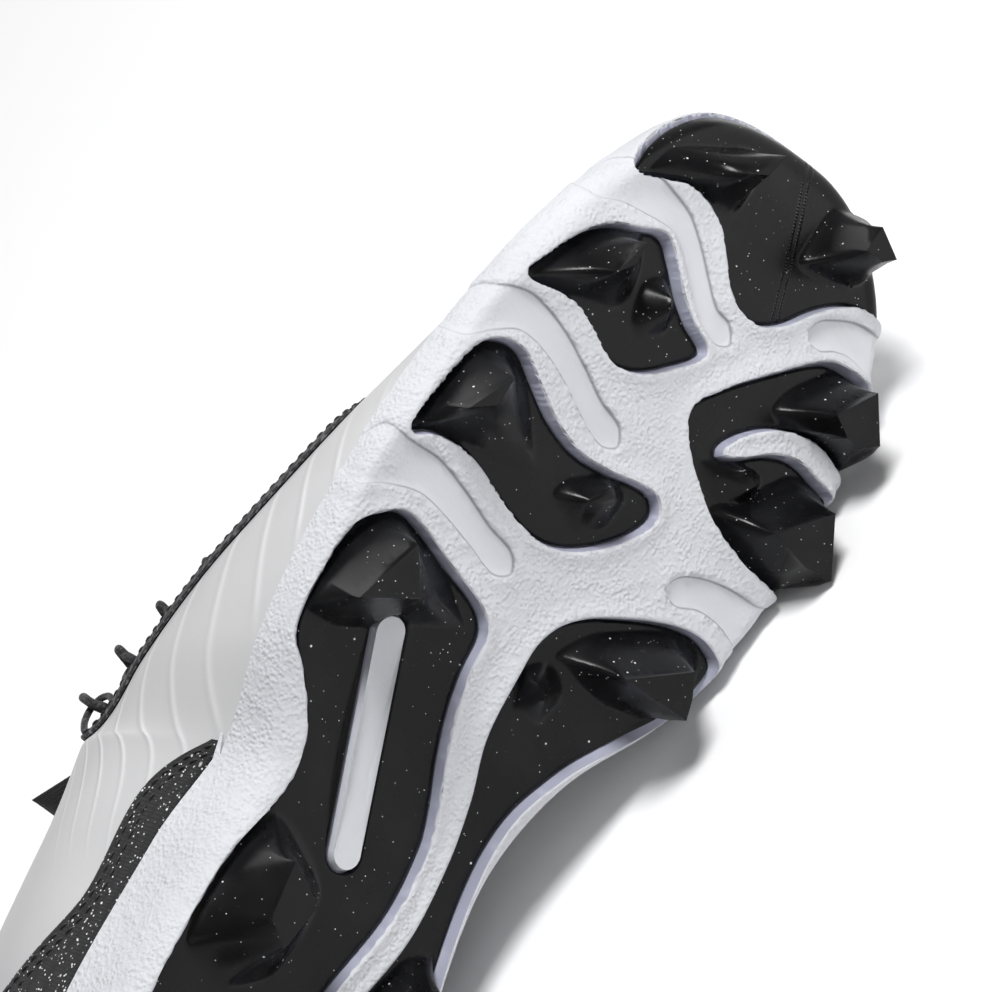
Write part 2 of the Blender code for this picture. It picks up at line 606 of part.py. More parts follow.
def upper_rows(ring):
    """The upper's outer face: rows of points from its bottom edge in the dish to its top edge."""
    out = np.column_stack([ring.out, np.zeros(len(ring.out))])
    up = np.array([0.0, 0.0, 1.0])
    edge = np.column_stack([ring.edge, np.zeros(len(ring.edge))])
    rim = edge + out * (ring.flare - RIM_LIP - FIT)[:, None] + up * (ring.edge_z + ring.rim)[:, None]
    foot = edge - out * ring.foot[:, None]
    foot[:, 2] = footbed_height(foot[:, 0])
    width = ((rim - foot) * out).sum(axis=1)[:, None]
    tall = (rim - foot)[:, 2:]
    rising = out * ring.lean[:, None] + up
    low = (foot, foot + out * width * 0.8, rim - rising * tall * 0.5, rim)
    high = (
        rim, rim + rising * ring.rise[:, None],
        ring.top + out * ring.reach[:, None] - up * ring.drop[:, None], ring.top,
    )
    rows = [bezier(low, t) for t in np.linspace(0.0, 1.0, LOW_ROWS)]
    rows += [bezier(high, t) for t in np.linspace(0.0, 1.0, HIGH_ROWS)[1:]]
    return np.array(rows)


def row_normals(rows):
    """Outward normals of a grid of rows and closed columns."""
    along = np.roll(rows, -1, axis=1) - np.roll(rows, 1, axis=1)
    rising = np.gradient(rows, axis=0)
    normal = np.cross(rising, along)
    normal /= np.linalg.norm(normal, axis=2)[..., None]
    return normal


def offset_rows(rows, by):
    return rows + row_normals(rows) * by


def add_grid(bm, points, closed):
    """A sheet of triangles through rows of points, all its diagonals turned one way."""
    rows = [[bm.verts.new(point) for point in row] for row in points]
    for low, high in zip(rows, rows[1:]):
        low_next = low[1:] + low[:1] if closed else low[1:]
        high_next = high[1:] + high[:1] if closed else high[1:]
        for first, second, third, fourth in zip(low, low_next, high_next, high):
            bm.faces.new((first, second, third))
            bm.faces.new((first, third, fourth))
    return rows


def add_strip(bm, first, second, closed):
    """Quads between two runs of vertices."""
    first_next = first[1:] + first[:1] if closed else first[1:]
    second_next = second[1:] + second[:1] if closed else second[1:]
    for corners in zip(first, first_next, second_next, second):
        bm.faces.new(corners)


def add_shell(bm, outer, inner, closed=False):
    """A wall between two grids of points, closed at its borders."""
    front = add_grid(bm, outer, closed)
    back = add_grid(bm, inner, closed)
    add_strip(bm, front[0], back[0], closed)
    add_strip(bm, front[-1], back[-1], closed)
    if not closed:
        for end in (0, -1):
            add_strip(bm, [row[end] for row in front], [row[end] for row in back], False)


PAINT = {
    "foam": ((0.78, 0.79, 0.83), 0.62),
    "plate": ((0.020, 0.020, 0.022), 0.42),
    "white": ((0.82, 0.82, 0.83), 0.45),
    "black": ((0.018, 0.018, 0.020), 0.70),
    "speckled": ((0.030, 0.030, 0.033), 0.80),
    "lining": ((0.035, 0.035, 0.038), 0.85),
}


def bend_lines(ring):
    """Plan loops where the foam's outside turns up: the tread edge and two lines up the wall."""
    length = wall_length(ring)[:, None]
    return [ring.edge + ring.out * length * share for share in BENDS]


def sink(bm, floor, plan_at, depth_of):
    """Steps a set of the foam's faces down into it."""
    result = bmesh.ops.extrude_face_region(bm, geom=floor)
    moved = [v for v in result["geom"] if isinstance(v, bmesh.types.BMVert)]
    plans = np.array([plan_at[tuple(round(c, 7) for c in v.co)] for v in moved])
    for vert, point in zip(moved, lifted(plans, -depth_of(plans))):
        vert.co = point
    bmesh.ops.delete(bm, geom=floor, context="FACES")


def pocket_depth(plans):
    return plate_recess(plans) + PLATE_WALL + FIT


def groove_depth(plans):
    return np.full(len(plans), GROOVE_DEPTH)


def midsole(collection):
    """The foam: its outside with pockets and grooves, a rim, and the dish that holds the upper."""
    ring = Ring(COLUMNS)
    rim_plan = ring.edge + ring.out * wall_length(ring)[:, None]
    pockets = {name: grown(plate_outline(name), POCKET_FIT) for name in PLATES}
    slot = slot_outline(-FIT)
    grooves = [groove_outline(name) for name in GROOVES]
    loops = [rim_plan, *bend_lines(ring), *pockets.values(), slot, *grooves]
    loose = on_grid(ring.edge, FOAM_SPACING)
    for step in (*pockets.values(), *grooves):
        loose = loose[distance_to(step, loose) > FOAM_SPACING / 5]
    flat, faces = triangulated(loops, loose)
    bm = bmesh.new()
    verts, made = add_patch(bm, lifted(flat, np.zeros(len(flat))), faces)
    plan_of = dict(zip(verts, flat))
    centres = np.array([np.mean([plan_of[v] for v in face.verts], axis=0) for face in made])
    sunk = np.zeros(len(made), bool)
    for pocket in pockets.values():
        sunk |= inside(pocket, centres)
    sunk &= ~inside(slot, centres)
    grooved = np.zeros(len(made), bool)
    for groove in grooves:
        grooved |= inside(groove, centres) & ~sunk
    rim_edges = border_of(made)
    plan_at = {tuple(round(c, 7) for c in v.co): plan_of[v] for v in verts}
    pocket_faces = [face for face, low in zip(made, sunk) if low]
    groove_faces = [face for face, low in zip(made, grooved) if low]
    sink(bm, pocket_faces, plan_at, pocket_depth)
    sink(bm, groove_faces, plan_at, groove_depth)
    rows = upper_rows(ring)[:LOW_ROWS]
    dish = offset_rows(rows, FIT)
    dish[0] = rows[0] - (0.0, 0.0, FIT)
    foot = dish[0]
    flat, faces = triangulated([foot[:, :2]], on_grid(foot[:, :2], FLOOR_SPACING))
    heights = footbed_height(flat[:, 0]) - FIT
    add_patch(bm, np.column_stack([flat, heights]), faces)
    wall = add_grid(bm, dish, closed=True)
    lip = [bm.edges.get(pair) for pair in zip(wall[-1], wall[-1][1:] + wall[-1][:1])]
    bmesh.ops.bridge_loops(bm, edges=rim_edges + lip)
    bmesh.ops.remove_doubles(bm, verts=bm.verts, dist=1e-6)
    return new_object("midsole", bm, collection, PAINT["foam"])


def plate(name, collection):
    """A moulded plate with its studs, bent to the foam and sunk into its pocket."""
    outline = plate_outline(name)
    loops = [outline]
    if name == "lateral_rear_plate":
        loops.append(slot_outline(0.0))
    for _, _, tip, base in studs_of(name):
        loops += [tip, base]
    bends = bend_lines(Ring(COLUMNS))
    loose = on_grid(outline, PLATE_SPACING)
    for loop in loops[1:]:
        loose = loose[distance_to(loop, loose) > PLATE_SPACING / 4]
        if len(loop) > 2:
            loose = loose[~inside(loop, loose)]
    loose = loose[inside(bends[0], loose)]
    loops += bends
    flat, faces = triangulated(loops, loose)
    centres = np.array([flat[list(face)].mean(axis=0) for face in faces])
    keep = inside(outline, centres)
    if name == "lateral_rear_plate":
        keep &= ~inside(slot_outline(0.0), centres)
    faces = [face for face, kept in zip(faces, keep) if kept]
    used = sorted({i for face in faces for i in face})
    place = {old: new for new, old in enumerate(used)}
    faces = [tuple(place[i] for i in face) for face in faces]
    flat = flat[used]
    bm = bmesh.new()
    verts, made = add_patch(bm, plate_face(name, flat), faces)
    plan_at = {tuple(v.co): p for v, p in zip(verts, flat)}
    result = bmesh.ops.extrude_face_region(bm, geom=made)
    moved = [v for v in result["geom"] if isinstance(v, bmesh.types.BMVert)]
    plans = np.array([plan_at[tuple(v.co)] for v in moved])
    back = lifted(plans, -plate_recess(plans) - PLATE_WALL)
    for vert, point in zip(moved, back):
        vert.co = point
    return new_object(name, bm, collection, PAINT["plate"])


def upper(collection):
    """One hollow wall, open at the throat, the collar and underneath."""
    rows = upper_rows(Ring(COLUMNS))
    inner = offset_rows(rows, -UPPER_WALL)
    inner[0] = rows[0] + (inner[0] - rows[0]) * (1, 1, 0)
    bm = bmesh.new()
    add_shell(bm, rows, inner, closed=True)
    return new_object("upper", bm, collection, PAINT["white"])


def insole(collection):
    """The footbed board, inside the bottom edge of the upper."""
    rows = upper_rows(Ring(COLUMNS))
    inner = offset_rows(rows, -UPPER_WALL - FIT)
    outline = inner[0][:, :2] - Ring(COLUMNS).out * FIT
    flat, faces = triangulated([outline], on_grid(outline, FLOOR_SPACING))
    bm = bmesh.new()
    _, made = add_patch(bm, np.column_stack([flat, footbed_height(flat[:, 0]) + FIT]), faces)
    result = bmesh.ops.extrude_face_region(bm, geom=made)
    moved = [v for v in result["geom"] if isinstance(v, bmesh.types.BMVert)]
    bmesh.ops.translate(bm, verts=moved, vec=(0, 0, INSOLE_WALL))
    return new_object("insole", bm, collection, PAINT["lining"])


def eyestay_share(top_x):
    """Where the band round the throat starts, as a share of the upper's wall."""
    ahead = top_x / LENGTH - EYESTAY_WIDEST
    rise = np.where(ahead < 0, -EYESTAY_REAR_RISE * ahead, EYESTAY_FRONT_RISE * ahead)
    return EYESTAY_LOWEST + rise


def on_wall(rows, share):
    """A point for each column at a share of the upper's wall, between its rows."""
    place = LOW_ROWS - 1 + share * (HIGH_ROWS - 1)
    low = np.minimum(np.floor(place).astype(int), len(rows) - 2)
    part = (place - low)[:, None]
    columns = np.arange(rows.shape[1])
    return rows[low, columns] * (1 - part) + rows[low + 1, columns] * part


def eyestay(collection):
    """The band round the throat, from the top of one side to the top of the other."""
    ring = Ring(COLUMNS)
    grid = upper_rows(ring)
    start = eyestay_share(ring.top[:, 0])
    steps = [step for step in np.linspace(0.0, 1.0, HIGH_ROWS) if step > EYESTAY_LOWEST]
    shares = [start, *(np.maximum(start, step) for step in steps)]
    throat = [i for i in range(-COLUMNS // 2, COLUMNS // 2) if ring.top[i, 0] > EYESTAY_END * LENGTH]
    low = np.array([on_wall(offset_rows(grid, FIT), share) for share in shares])[:, throat]
    high = np.array([on_wall(offset_rows(grid, FIT + OVERLAY_WALL), share) for share in shares])[:, throat]
    bm = bmesh.new()
    add_shell(bm, high, low)
    bmesh.ops.remove_doubles(bm, verts=bm.verts, dist=1e-6)
    new_object("eyestay", bm, collection, PAINT["black"])


def panel_share(edge_x):
    """Where the rear panel ends, as a share of the upper's wall."""
    place = edge_x / LENGTH
    front = PANEL_FOOT + PANEL_FRONT_RISE * (REAR_PANEL_END - place)
    rear = PANEL_REAR_RISE * (PANEL_HEEL - place)
    return np.clip(np.minimum(front, PANEL_SIDE) + np.maximum(rear, 0.0), PANEL_FOOT, 1.0)


def rear_panel(collection):
    """The fabric panel: low along the rear quarters, rising to the collar round the heel."""
    ring = Ring(COLUMNS)
    grid = upper_rows(ring)
    end = panel_share(ring.edge[:, 0])
    steps = [step for step in np.linspace(0.0, 1.0, HIGH_ROWS) if step > PANEL_FOOT]
    shares = [np.full(COLUMNS, PANEL_FOOT), *(np.minimum(end, step) for step in steps)]
    rear = [i for i in range(COLUMNS) if end[i] > PANEL_FOOT + PANEL_TIP]
    low = np.array([on_wall(offset_rows(grid, FIT), share) for share in shares])[:, rear]
    high = np.array([on_wall(offset_rows(grid, FIT + OVERLAY_WALL), share) for share in shares])[:, rear]
    bm = bmesh.new()
    add_shell(bm, high, low)
    bmesh.ops.remove_doubles(bm, verts=bm.verts, dist=1e-6)
    new_object("rear_panel", bm, collection, PAINT["speckled"])


class Throat:
    """The upper's top edge on both sides of the throat, read at any x."""

    def __init__(self):
        rows = upper_rows(FINE)
        normals = row_normals(rows)
        top = rows[-1, :, 0]
        outer = int(np.argmax(top < THROAT_END * LENGTH))
        inner = len(top) - int(np.argmax(top[::-1] < THROAT_END * LENGTH))
        self.sides = (np.arange(0, outer), np.arange(len(top), inner, -1) % len(top))
        self.rows, self.normals = rows, normals

    def at(self, values, side, key, x):
        """A row's values where its key, which falls along the side, passes x."""
        picked = values[self.sides[side]]
        place = -key[self.sides[side]]
        return np.array([np.interp(-x, place, picked[:, axis]) for axis in range(3)])

    def frame(self, side, x):
        """A point of the top edge with its directions: rearward, down the side, off the face."""
        key = self.rows[-1, :, 0]
        point = self.at(self.rows[-1], side, key, x)
        below = self.at(self.rows[-2], side, key, x)
        ahead = self.at(self.rows[-1], side, key, x + 0.002)
        behind = self.at(self.rows[-1], side, key, x - 0.002)
        rear = Vector(behind - ahead).normalized()
        down = Vector(below - point).normalized()
        away = Vector(self.at(self.normals[-1], side, key, x)).normalized()
        return Vector(point), rear, down, away

    def section(self, x):
        """The upper's outer face cut at x across the throat: points from side to side."""
        found = []
        for side in (0, 1):
            for row in (-3, -2, -1):
                line = self.rows[row]
                if x <= line[0, 0]:
                    found.append(self.at(line, side, line[:, 0], x)[1:])
        column = self.rows[LOW_ROWS:, 0]
        if x > self.rows[-1, 0, 0]:
            place = -column[::1, 0]
            found.append([np.interp(-x, place, column[:, axis]) for axis in (1, 2)])
        else:
            edges = [self.at(self.rows[-1], side, self.rows[-1, :, 0], x) for side in (0, 1)]
            middle = (edges[0] + edges[1]) / 2
            found.append([middle[1], middle[2] + TONGUE_CROWN])
        return np.array(sorted(found, key=lambda point: point[0]))


def tongue_sections(throat):
    """The tongue's top and bottom lines at a run of sections from the vamp to its free end."""
    sections = []
    sink = UPPER_WALL + 4 * FIT
    for x in np.linspace(TONGUE_FRONT * LENGTH, THROAT_END * LENGTH, TONGUE_ALONG):
        line = throat.section(x)
        narrow = 1.0 - TONGUE_NARROWING * smooth_step((TONGUE_WAIST - x / LENGTH) / 0.1)
        ys = np.linspace(line[0, 0], line[-1, 0], TONGUE_ACROSS) * narrow
        zs = np.interp(ys, line[:, 0], line[:, 1])
        zs[1:-1] = (zs[:-2] + 2 * zs[1:-1] + zs[2:]) / 4 - FIT
        slope = np.gradient(zs, ys)
        off = np.column_stack([-slope, np.ones(TONGUE_ACROSS)]) / np.sqrt(1 + slope**2)[:, None]
        flat = np.column_stack([ys, zs])
        sections.append((x, flat - off * sink, flat - off * (sink + TONGUE_WALL)))
    last_x, high, low = sections[-1]
    for step in (1, 2, 3):
        share = step / 3
        rise = (0.0, TONGUE_TOP * share)
        back = last_x - TONGUE_TOP * 0.7 * share
        sections.append((back, high * (1 - 0.06 * share, 1) + rise, low * (1 - 0.06 * share, 1) + rise))
    return sections


def tongue(collection):
    """A padded sheet under the throat, from below the vamp to its free end over the collar."""
    bm = bmesh.new()
    sections = tongue_sections(Throat())
    high = [[(x, *point) for point in line] for x, line, _ in sections]
    low = [[(x, *point) for point in line] for x, _, line in sections]
    add_shell(bm, high, low)
    return new_object("tongue", bm, collection, PAINT["black"])


def cord(name, points, diameter, collection):
    """A round cord through points, as a mesh with closed ends."""
    curve = bpy.data.curves.new(name + "_path", "CURVE")
    curve.dimensions = "3D"
    curve.bevel_depth = diameter / 2
    curve.bevel_resolution = 1
    curve.use_fill_caps = True
    spline = curve.splines.new("POLY")
    spline.points.add(len(points) - 1)
    for spot, point in zip(spline.points, points):
        spot.co = (*point, 1.0)
    guide = bpy.data.objects.new(name + "_path", curve)
    collection.objects.link(guide)
    bpy.context.view_layer.update()
    graph = bpy.context.evaluated_depsgraph_get()
    mesh = bpy.data.meshes.new_from_object(guide.evaluated_get(graph))
    bpy.data.objects.remove(guide, do_unlink=True)
    bm = bmesh.new()
    bm.from_mesh(mesh)
    bpy.data.meshes.remove(mesh)
    bmesh.ops.remove_doubles(bm, verts=bm.verts, dist=1e-6)
    return new_object(name, bm, collection, PAINT["black"])


def loop_places():
    """x of each lace loop, from the front of the throat up."""
    return np.linspace(LOOPS_FRONT * LENGTH, LOOPS_REAR * LENGTH, LOOP_COUNT)


def loop_nose(throat, side, x):
    """Middle of the raised nose of a lace loop, with the directions of the edge there."""
    point, rear, down, away = throat.frame(side, x)
    return point + away * NOSE_HEIGHT, rear, down, away


def lace_loops(throat, collection):
    """Cord loops along both edges, each an arch from two feet on the band to a raised nose."""
    for side, label in ((0, "outer"), (1, "inner")):
        for number, x in enumerate(loop_places(), start=1):
            nose, rear, down, away = loop_nose(throat, side, x)
            half = LOOP_SPAN / 2
            path = []
            for turn in np.linspace(-math.pi / 2, math.pi / 2, 7):
                reach = math.cos(turn)
                path.append(nose + rear * half * math.sin(turn) + down * half * 1.5 * (1 - reach)
                            - away * LOOP_DROP * (1 - reach))
            cord(f"lace_loop_{label}_{number}", path, LOOP_CORD, collection)


def round_nose(throat, side, x):
    """The lace's way round a loop's nose: under it, up behind it and back over it."""
    nose, rear, down, away = loop_nose(throat, side, x)
    radius = (LOOP_CORD + LACE_CORD) / 2 + LACE_FIT
    points = []
    for turn in np.linspace(-math.pi / 2, math.pi / 2, 5):
        shift = rear * radius * 0.35 * (turn / (math.pi / 2))
        points.append(nose + down * radius * math.cos(turn) + away * radius * math.sin(turn) + shift)
    return points


def crossing(throat, x):
    """Where the lace lies on the middle of the tongue."""
    line = throat.section(x)
    middle = line[len(line) // 2]
    lift = LACE_CORD / 2 + 4 * FIT - UPPER_WALL
    return Vector((x, middle[0], middle[1] + lift))


def lace(throat, collection):
    """The crossings of the lace, joined, from the front loops to the top ones."""
    places = loop_places()
    halves = []
    for start in (0, 1):
        path = []
        if start == 0:
            path += [crossing(throat, places[0])]
        for number, x in enumerate(places):
            side = (number + start) % 2
            path += round_nose(throat, side, x)
            if number + 1 < len(places):
                path.append(crossing(throat, (x + places[number + 1]) / 2))
        if start == 1:
            path = [crossing(throat, places[0])] + path
        halves.append(cord(f"lace_half_{start}", path, LACE_CORD, collection))
    whole, other = halves
    joint = whole.modifiers.new("join", "BOOLEAN")
    joint.operation = "UNION"
    joint.object = other
    bpy.context.view_layer.update()
    graph = bpy.context.evaluated_depsgraph_get()
    mesh = bpy.data.meshes.new_from_object(whole.evaluated_get(graph))
    whole.modifiers.clear()
    whole.data = mesh
    whole.name = "lace"
    bpy.data.objects.remove(other, do_unlink=True)


def points_and_middle(collection):
    """Every vertex of the shoe, and the centre of its volume."""
    points, weight, middle = [], 0.0, Vector((0, 0, 0))
    for obj in collection.objects:
        mesh = obj.data
        mesh.calc_loop_triangles()
        points += [v.co.copy() for v in mesh.vertices]
        for triangle in mesh.loop_triangles:
            a, b, c = (mesh.vertices[i].co for i in triangle.vertices)
            volume = a.dot(b.cross(c)) / 6.0
            weight += volume
            middle += volume * (a + b + c) / 4.0
    return points, middle / weight


def floor_side(points, middle):
    """Outward normal of the face that the shoe rests on when it lies on its inner side."""
    bm = bmesh.new()
    for point in points:
        bm.verts.new(point)
    bmesh.ops.remove_doubles(bm, verts=bm.verts, dist=1e-5)
    bmesh.ops.convex_hull(bm, input=bm.verts)
    best, largest = None, 0.0
    for face in bm.faces:
        if len(face.verts) != 3 or face.calc_area() <= largest:
            continue
        a, b, c = (v.co for v in face.verts)
        normal = (b - a).cross(c - a).normalized()
        if normal.dot(a - middle) < 0:
            normal.negate()
        if normal.y < 0.5:
            continue
        foot = middle + normal * normal.dot(a - middle)
        turns = [normal.dot((q - p).cross(foot - p)) for p, q in ((a, b), (b, c), (c, a))]
        if all(turn >= 0 for turn in turns) or all(turn <= 0 for turn in turns):
            best, largest = normal, face.calc_area()
    bm.free()
    return best


def lay_down(collection):
    """Turns the shoe onto its inner side, toe to +X, and stands it on the middle of the floor."""
    points, middle = points_and_middle(collection)
    up = -floor_side(points, middle)
    toe = Vector((1, 0, 0))
    forward = (toe - up * up.dot(toe)).normalized()
    turn = Matrix((forward, up.cross(forward), up))
    placed = np.array([turn @ point for point in points])
    low, high = placed.min(axis=0), placed.max(axis=0)
    shift = Vector((-(low[0] + high[0]) / 2, -(low[1] + high[1]) / 2, -low[2]))
    pose = bpy.data.objects.new("shoe_pose", None)
    collection.objects.link(pose)
    pose.matrix_world = Matrix.Translation(shift) @ turn.to_4x4()
    for obj in collection.objects:
        if obj is not pose:
            obj.parent = pose


def main():
    for obj in list(bpy.data.objects):
        bpy.data.objects.remove(obj, do_unlink=True)
    collection = bpy.data.collections.new("baseball_cleat")
    bpy.context.scene.collection.children.link(collection)
    midsole(collection)
    for name in PLATES:
        plate(name, collection)
    upper(collection)
    insole(collection)
    throat = Throat()
    tongue(collection)
    eyestay(collection)
    rear_panel(collection)
    lace_loops(throat, collection)
    lace(throat, collection)
    lay_down(collection)


main()
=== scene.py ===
# %% [markdown]
# # A baseball cleat that lies on its side
# The CAD model gives plain facets of true size. This script dresses it: a pebbled foam
# midsole with sunk pockets and grooves, satin moulded plates with studs, a thin white
# upper, a speckled fabric panel at the rear, laces, lining and tongue.
# Everything is shaped in the shoe's own frame (x to the toe, y to the inner side,
# z up from the stud tips) and is laid on its side only when a piece is finished.

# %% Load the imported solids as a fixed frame
import json
import math

import bmesh
import bpy
import numpy as np
from mathutils import Matrix, Vector
from mathutils.geometry import delaunay_2d_cdt
from mathutils.kdtree import KDTree


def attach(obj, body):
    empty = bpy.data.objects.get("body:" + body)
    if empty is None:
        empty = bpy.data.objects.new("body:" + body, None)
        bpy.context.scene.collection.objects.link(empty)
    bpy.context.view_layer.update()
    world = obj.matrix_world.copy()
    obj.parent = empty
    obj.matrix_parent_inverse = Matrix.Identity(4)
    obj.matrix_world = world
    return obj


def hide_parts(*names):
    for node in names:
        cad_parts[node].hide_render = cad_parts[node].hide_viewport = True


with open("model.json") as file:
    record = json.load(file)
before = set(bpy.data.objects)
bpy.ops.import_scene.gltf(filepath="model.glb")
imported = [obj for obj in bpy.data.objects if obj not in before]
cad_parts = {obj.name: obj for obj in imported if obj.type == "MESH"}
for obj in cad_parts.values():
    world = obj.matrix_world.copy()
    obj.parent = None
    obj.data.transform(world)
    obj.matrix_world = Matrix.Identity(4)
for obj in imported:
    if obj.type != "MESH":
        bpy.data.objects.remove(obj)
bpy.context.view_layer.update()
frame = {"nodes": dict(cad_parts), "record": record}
print("CAD nodes:", len(frame["nodes"]))

# %% [markdown]
# ## Where the shoe lies
# The record names two flat stud tips. Both lie in the plane z = 0 of the shoe's frame,
# so the line between them and their common normal give the whole placement.

# %% The matrix from the shoe's frame to the scene
HEEL_TIP = Vector((0.03428, -0.01540, 0.0))
FOREFOOT_TIP = Vector((0.17765, 0.03200, 0.0))


def triad(forward, up):
    """Three unit axes as the columns of a matrix."""
    up = up.normalized()
    forward = (forward - up * forward.dot(up)).normalized()
    return Matrix((forward, up.cross(forward), up)).transposed()


mounts = {mount["name"]: mount for mount in frame["record"]["mounts"]}
heel_at = Vector(mounts["heel_stud_tip"]["pos_m"])
forefoot_at = Vector(mounts["forefoot_stud_tip"]["pos_m"])
shoe_up = -Vector(mounts["heel_stud_tip"]["axis"])
in_scene = triad(forefoot_at - heel_at, shoe_up)
in_shoe = triad(FOREFOOT_TIP - HEEL_TIP, Vector((0, 0, 1)))
turn = in_scene @ in_shoe.transposed()
SHOE_TO_SCENE = Matrix.Translation(heel_at - turn @ HEEL_TIP) @ turn.to_4x4()
print("toe direction in the scene:", [round(v, 3) for v in turn.col[0]])

# %% [markdown]
# ## The last and the sole in numbers
# These are the sizes of the CAD model: a ring of stations round the tread edge, the
# outlines of the plates and the studs that stand on them. Shares and percents are of
# the named lengths, so one length moves all that follows it.

# %% Sizes in metres
LENGTH = 0.302
BALL_WIDTH = 0.112
HEEL_WIDTH = 0.072
INSTEP_HEIGHT = 0.106
HEEL_HEIGHT = 0.094
STUD_HEIGHT = 0.011
LOW_STUD_HEIGHT = 0.0045
TOE_SPRING = 0.013
ARCH_RISE = 0.005
FOREFOOT_FOAM = 0.0062
HEEL_FOAM = 0.019
RIM_HEIGHT = 0.020
RIM_FLARE = 0.004
RIM_LIP = 0.0026
FOOT_INSET = 0.004
UPPER_WALL = 0.002
OVERLAY_WALL = 0.0012
PLATE_WALL = 0.0013
PLATE_RECESS = 0.0018
RECESS_FADE = 0.006
INSOLE_WALL = 0.004
TONGUE_WALL = 0.005
TONGUE_TOP = 0.020
LOOP_CORD = 0.0016
LOOP_SPAN = 0.009
LACE_CORD = 0.0022
FIT = 0.0003
LACE_FIT = 0.0009
POCKET_FIT = 0.0007
NORMAL_STEP = 0.002
TONGUE_CROWN = 0.001
NOSE_HEIGHT = FIT + OVERLAY_WALL + 2 * FIT + LACE_CORD + LACE_FIT + LOOP_CORD / 2
LOOP_DROP = NOSE_HEIGHT - (FIT + OVERLAY_WALL + 2 * FIT + LOOP_CORD / 2)

# %% Places as shares of the length, and heights as shares of the upper's wall
EYESTAY_END = 0.375
EYESTAY_WIDEST = 0.552
EYESTAY_LOWEST = 0.34
EYESTAY_REAR_RISE = 2.5
EYESTAY_FRONT_RISE = 3.5
REAR_PANEL_END = 0.405
THROAT_END = 0.372
TONGUE_FRONT = 0.700
LOOPS_FRONT = 0.600
LOOPS_REAR = 0.400
TONGUE_WAIST = 0.49
PANEL_FOOT = 0.03
PANEL_TIP = 0.02
PANEL_SIDE = 0.225
PANEL_FRONT_RISE = 2.9
PANEL_HEEL = 0.25
PANEL_REAR_RISE = 4.2
TOE_BREAK = 0.68
ARCH_PLACE = 0.41
ARCH_SPREAD = 0.126
FOAM_STEP = (0.26, 0.50)
# Shares of a width and of the toe spring.
TONGUE_NARROWING = 0.35
TIP_SPRING = 0.85
# Counts.
LOW_ROWS = 3
HIGH_ROWS = 7
LOOP_COUNT = 6

# %% The stations round the sole
STATION_COLUMNS = (
    "of", "x", "y", "foot", "flare", "rim", "lean",
    "up", "top_x", "top_y", "top_z", "rise", "reach", "drop",
)
STATIONS = (
    ("ball", 0.980, 0.140, 1.0, 1.4, 0.74, 0.00, "instep", 0.662, 0.040, 0.66, 0.14, 0.52, 0.06),
    ("ball", 0.958, -0.105, 1.0, 1.3, 0.70, -0.10, "instep", 0.658, -0.040, 0.66, 0.10, 0.36, 0.08),
    ("ball", 0.895, -0.255, 1.0, 1.0, 0.58, -0.25, "instep", 0.646, -0.110, 0.66, 0.08, 0.24, 0.12),
    ("ball", 0.790, -0.385, 1.0, 0.9, 0.48, -0.20, "instep", 0.615, -0.160, 0.69, 0.12, 0.16, 0.16),
    ("ball", 0.662, -0.455, 1.0, 0.8, 0.44, 0.00, "instep", 0.560, -0.185, 0.77, 0.20, 0.18, 0.16),
    ("ball", 0.546, -0.455, 0.8, 0.8, 0.44, 0.08, "instep", 0.494, -0.205, 0.86, 0.26, 0.20, 0.14),
    ("ball", 0.464, -0.400, 0.8, 1.2, 0.48, 0.16, "instep", 0.430, -0.210, 0.93, 0.30, 0.18, 0.13),
    ("ball", 0.390, -0.280, 0.5, 2.1, 0.74, 0.26, "instep", 0.372, -0.225, 0.97, 0.28, 0.16, 0.14),
    ("heel", 0.305, -0.470, 0.6, 1.5, 1.05, 0.16, "heel", 0.292, -0.450, 0.93, 0.22, 0.10, 0.16),
    ("heel", 0.166, -0.480, 0.9, 1.0, 1.15, 0.10, "heel", 0.182, -0.470, 0.83, 0.16, 0.04, 0.16),
    ("heel", 0.055, -0.340, 1.0, 0.9, 1.15, 0.06, "heel", 0.082, -0.320, 0.94, 0.18, 0.03, 0.18),
    ("heel", 0.018, 0.000, 1.0, 0.9, 1.15, 0.04, "heel", 0.038, 0.000, 1.00, 0.22, 0.03, 0.20),
    ("heel", 0.055, 0.340, 1.0, 0.9, 1.15, 0.06, "heel", 0.082, 0.320, 0.94, 0.18, 0.03, 0.18),
    ("heel", 0.166, 0.460, 0.9, 1.0, 1.15, 0.10, "heel", 0.182, 0.465, 0.83, 0.16, 0.04, 0.16),
    ("heel", 0.305, 0.350, 0.6, 1.6, 1.10, 0.18, "heel", 0.292, 0.445, 0.93, 0.20, 0.10, 0.16),
    ("ball", 0.414, 0.195, 0.5, 1.9, 0.95, 0.26, "instep", 0.372, 0.225, 0.97, 0.26, 0.14, 0.14),
    ("ball", 0.500, 0.240, 0.6, 1.5, 0.80, 0.24, "instep", 0.436, 0.215, 0.93, 0.30, 0.20, 0.13),
    ("ball", 0.612, 0.385, 0.8, 1.1, 0.60, 0.12, "instep", 0.510, 0.205, 0.85, 0.28, 0.26, 0.12),
    ("ball", 0.735, 0.445, 1.0, 1.0, 0.56, 0.06, "instep", 0.580, 0.185, 0.76, 0.25, 0.32, 0.12),
    ("ball", 0.834, 0.437, 1.0, 1.1, 0.58, 0.04, "instep", 0.630, 0.165, 0.68, 0.22, 0.38, 0.09),
    ("ball", 0.918, 0.385, 1.0, 1.3, 0.66, 0.00, "instep", 0.652, 0.125, 0.66, 0.18, 0.44, 0.07),
    ("ball", 0.966, 0.275, 1.0, 1.4, 0.72, 0.00, "instep", 0.660, 0.085, 0.66, 0.15, 0.50, 0.06),
)

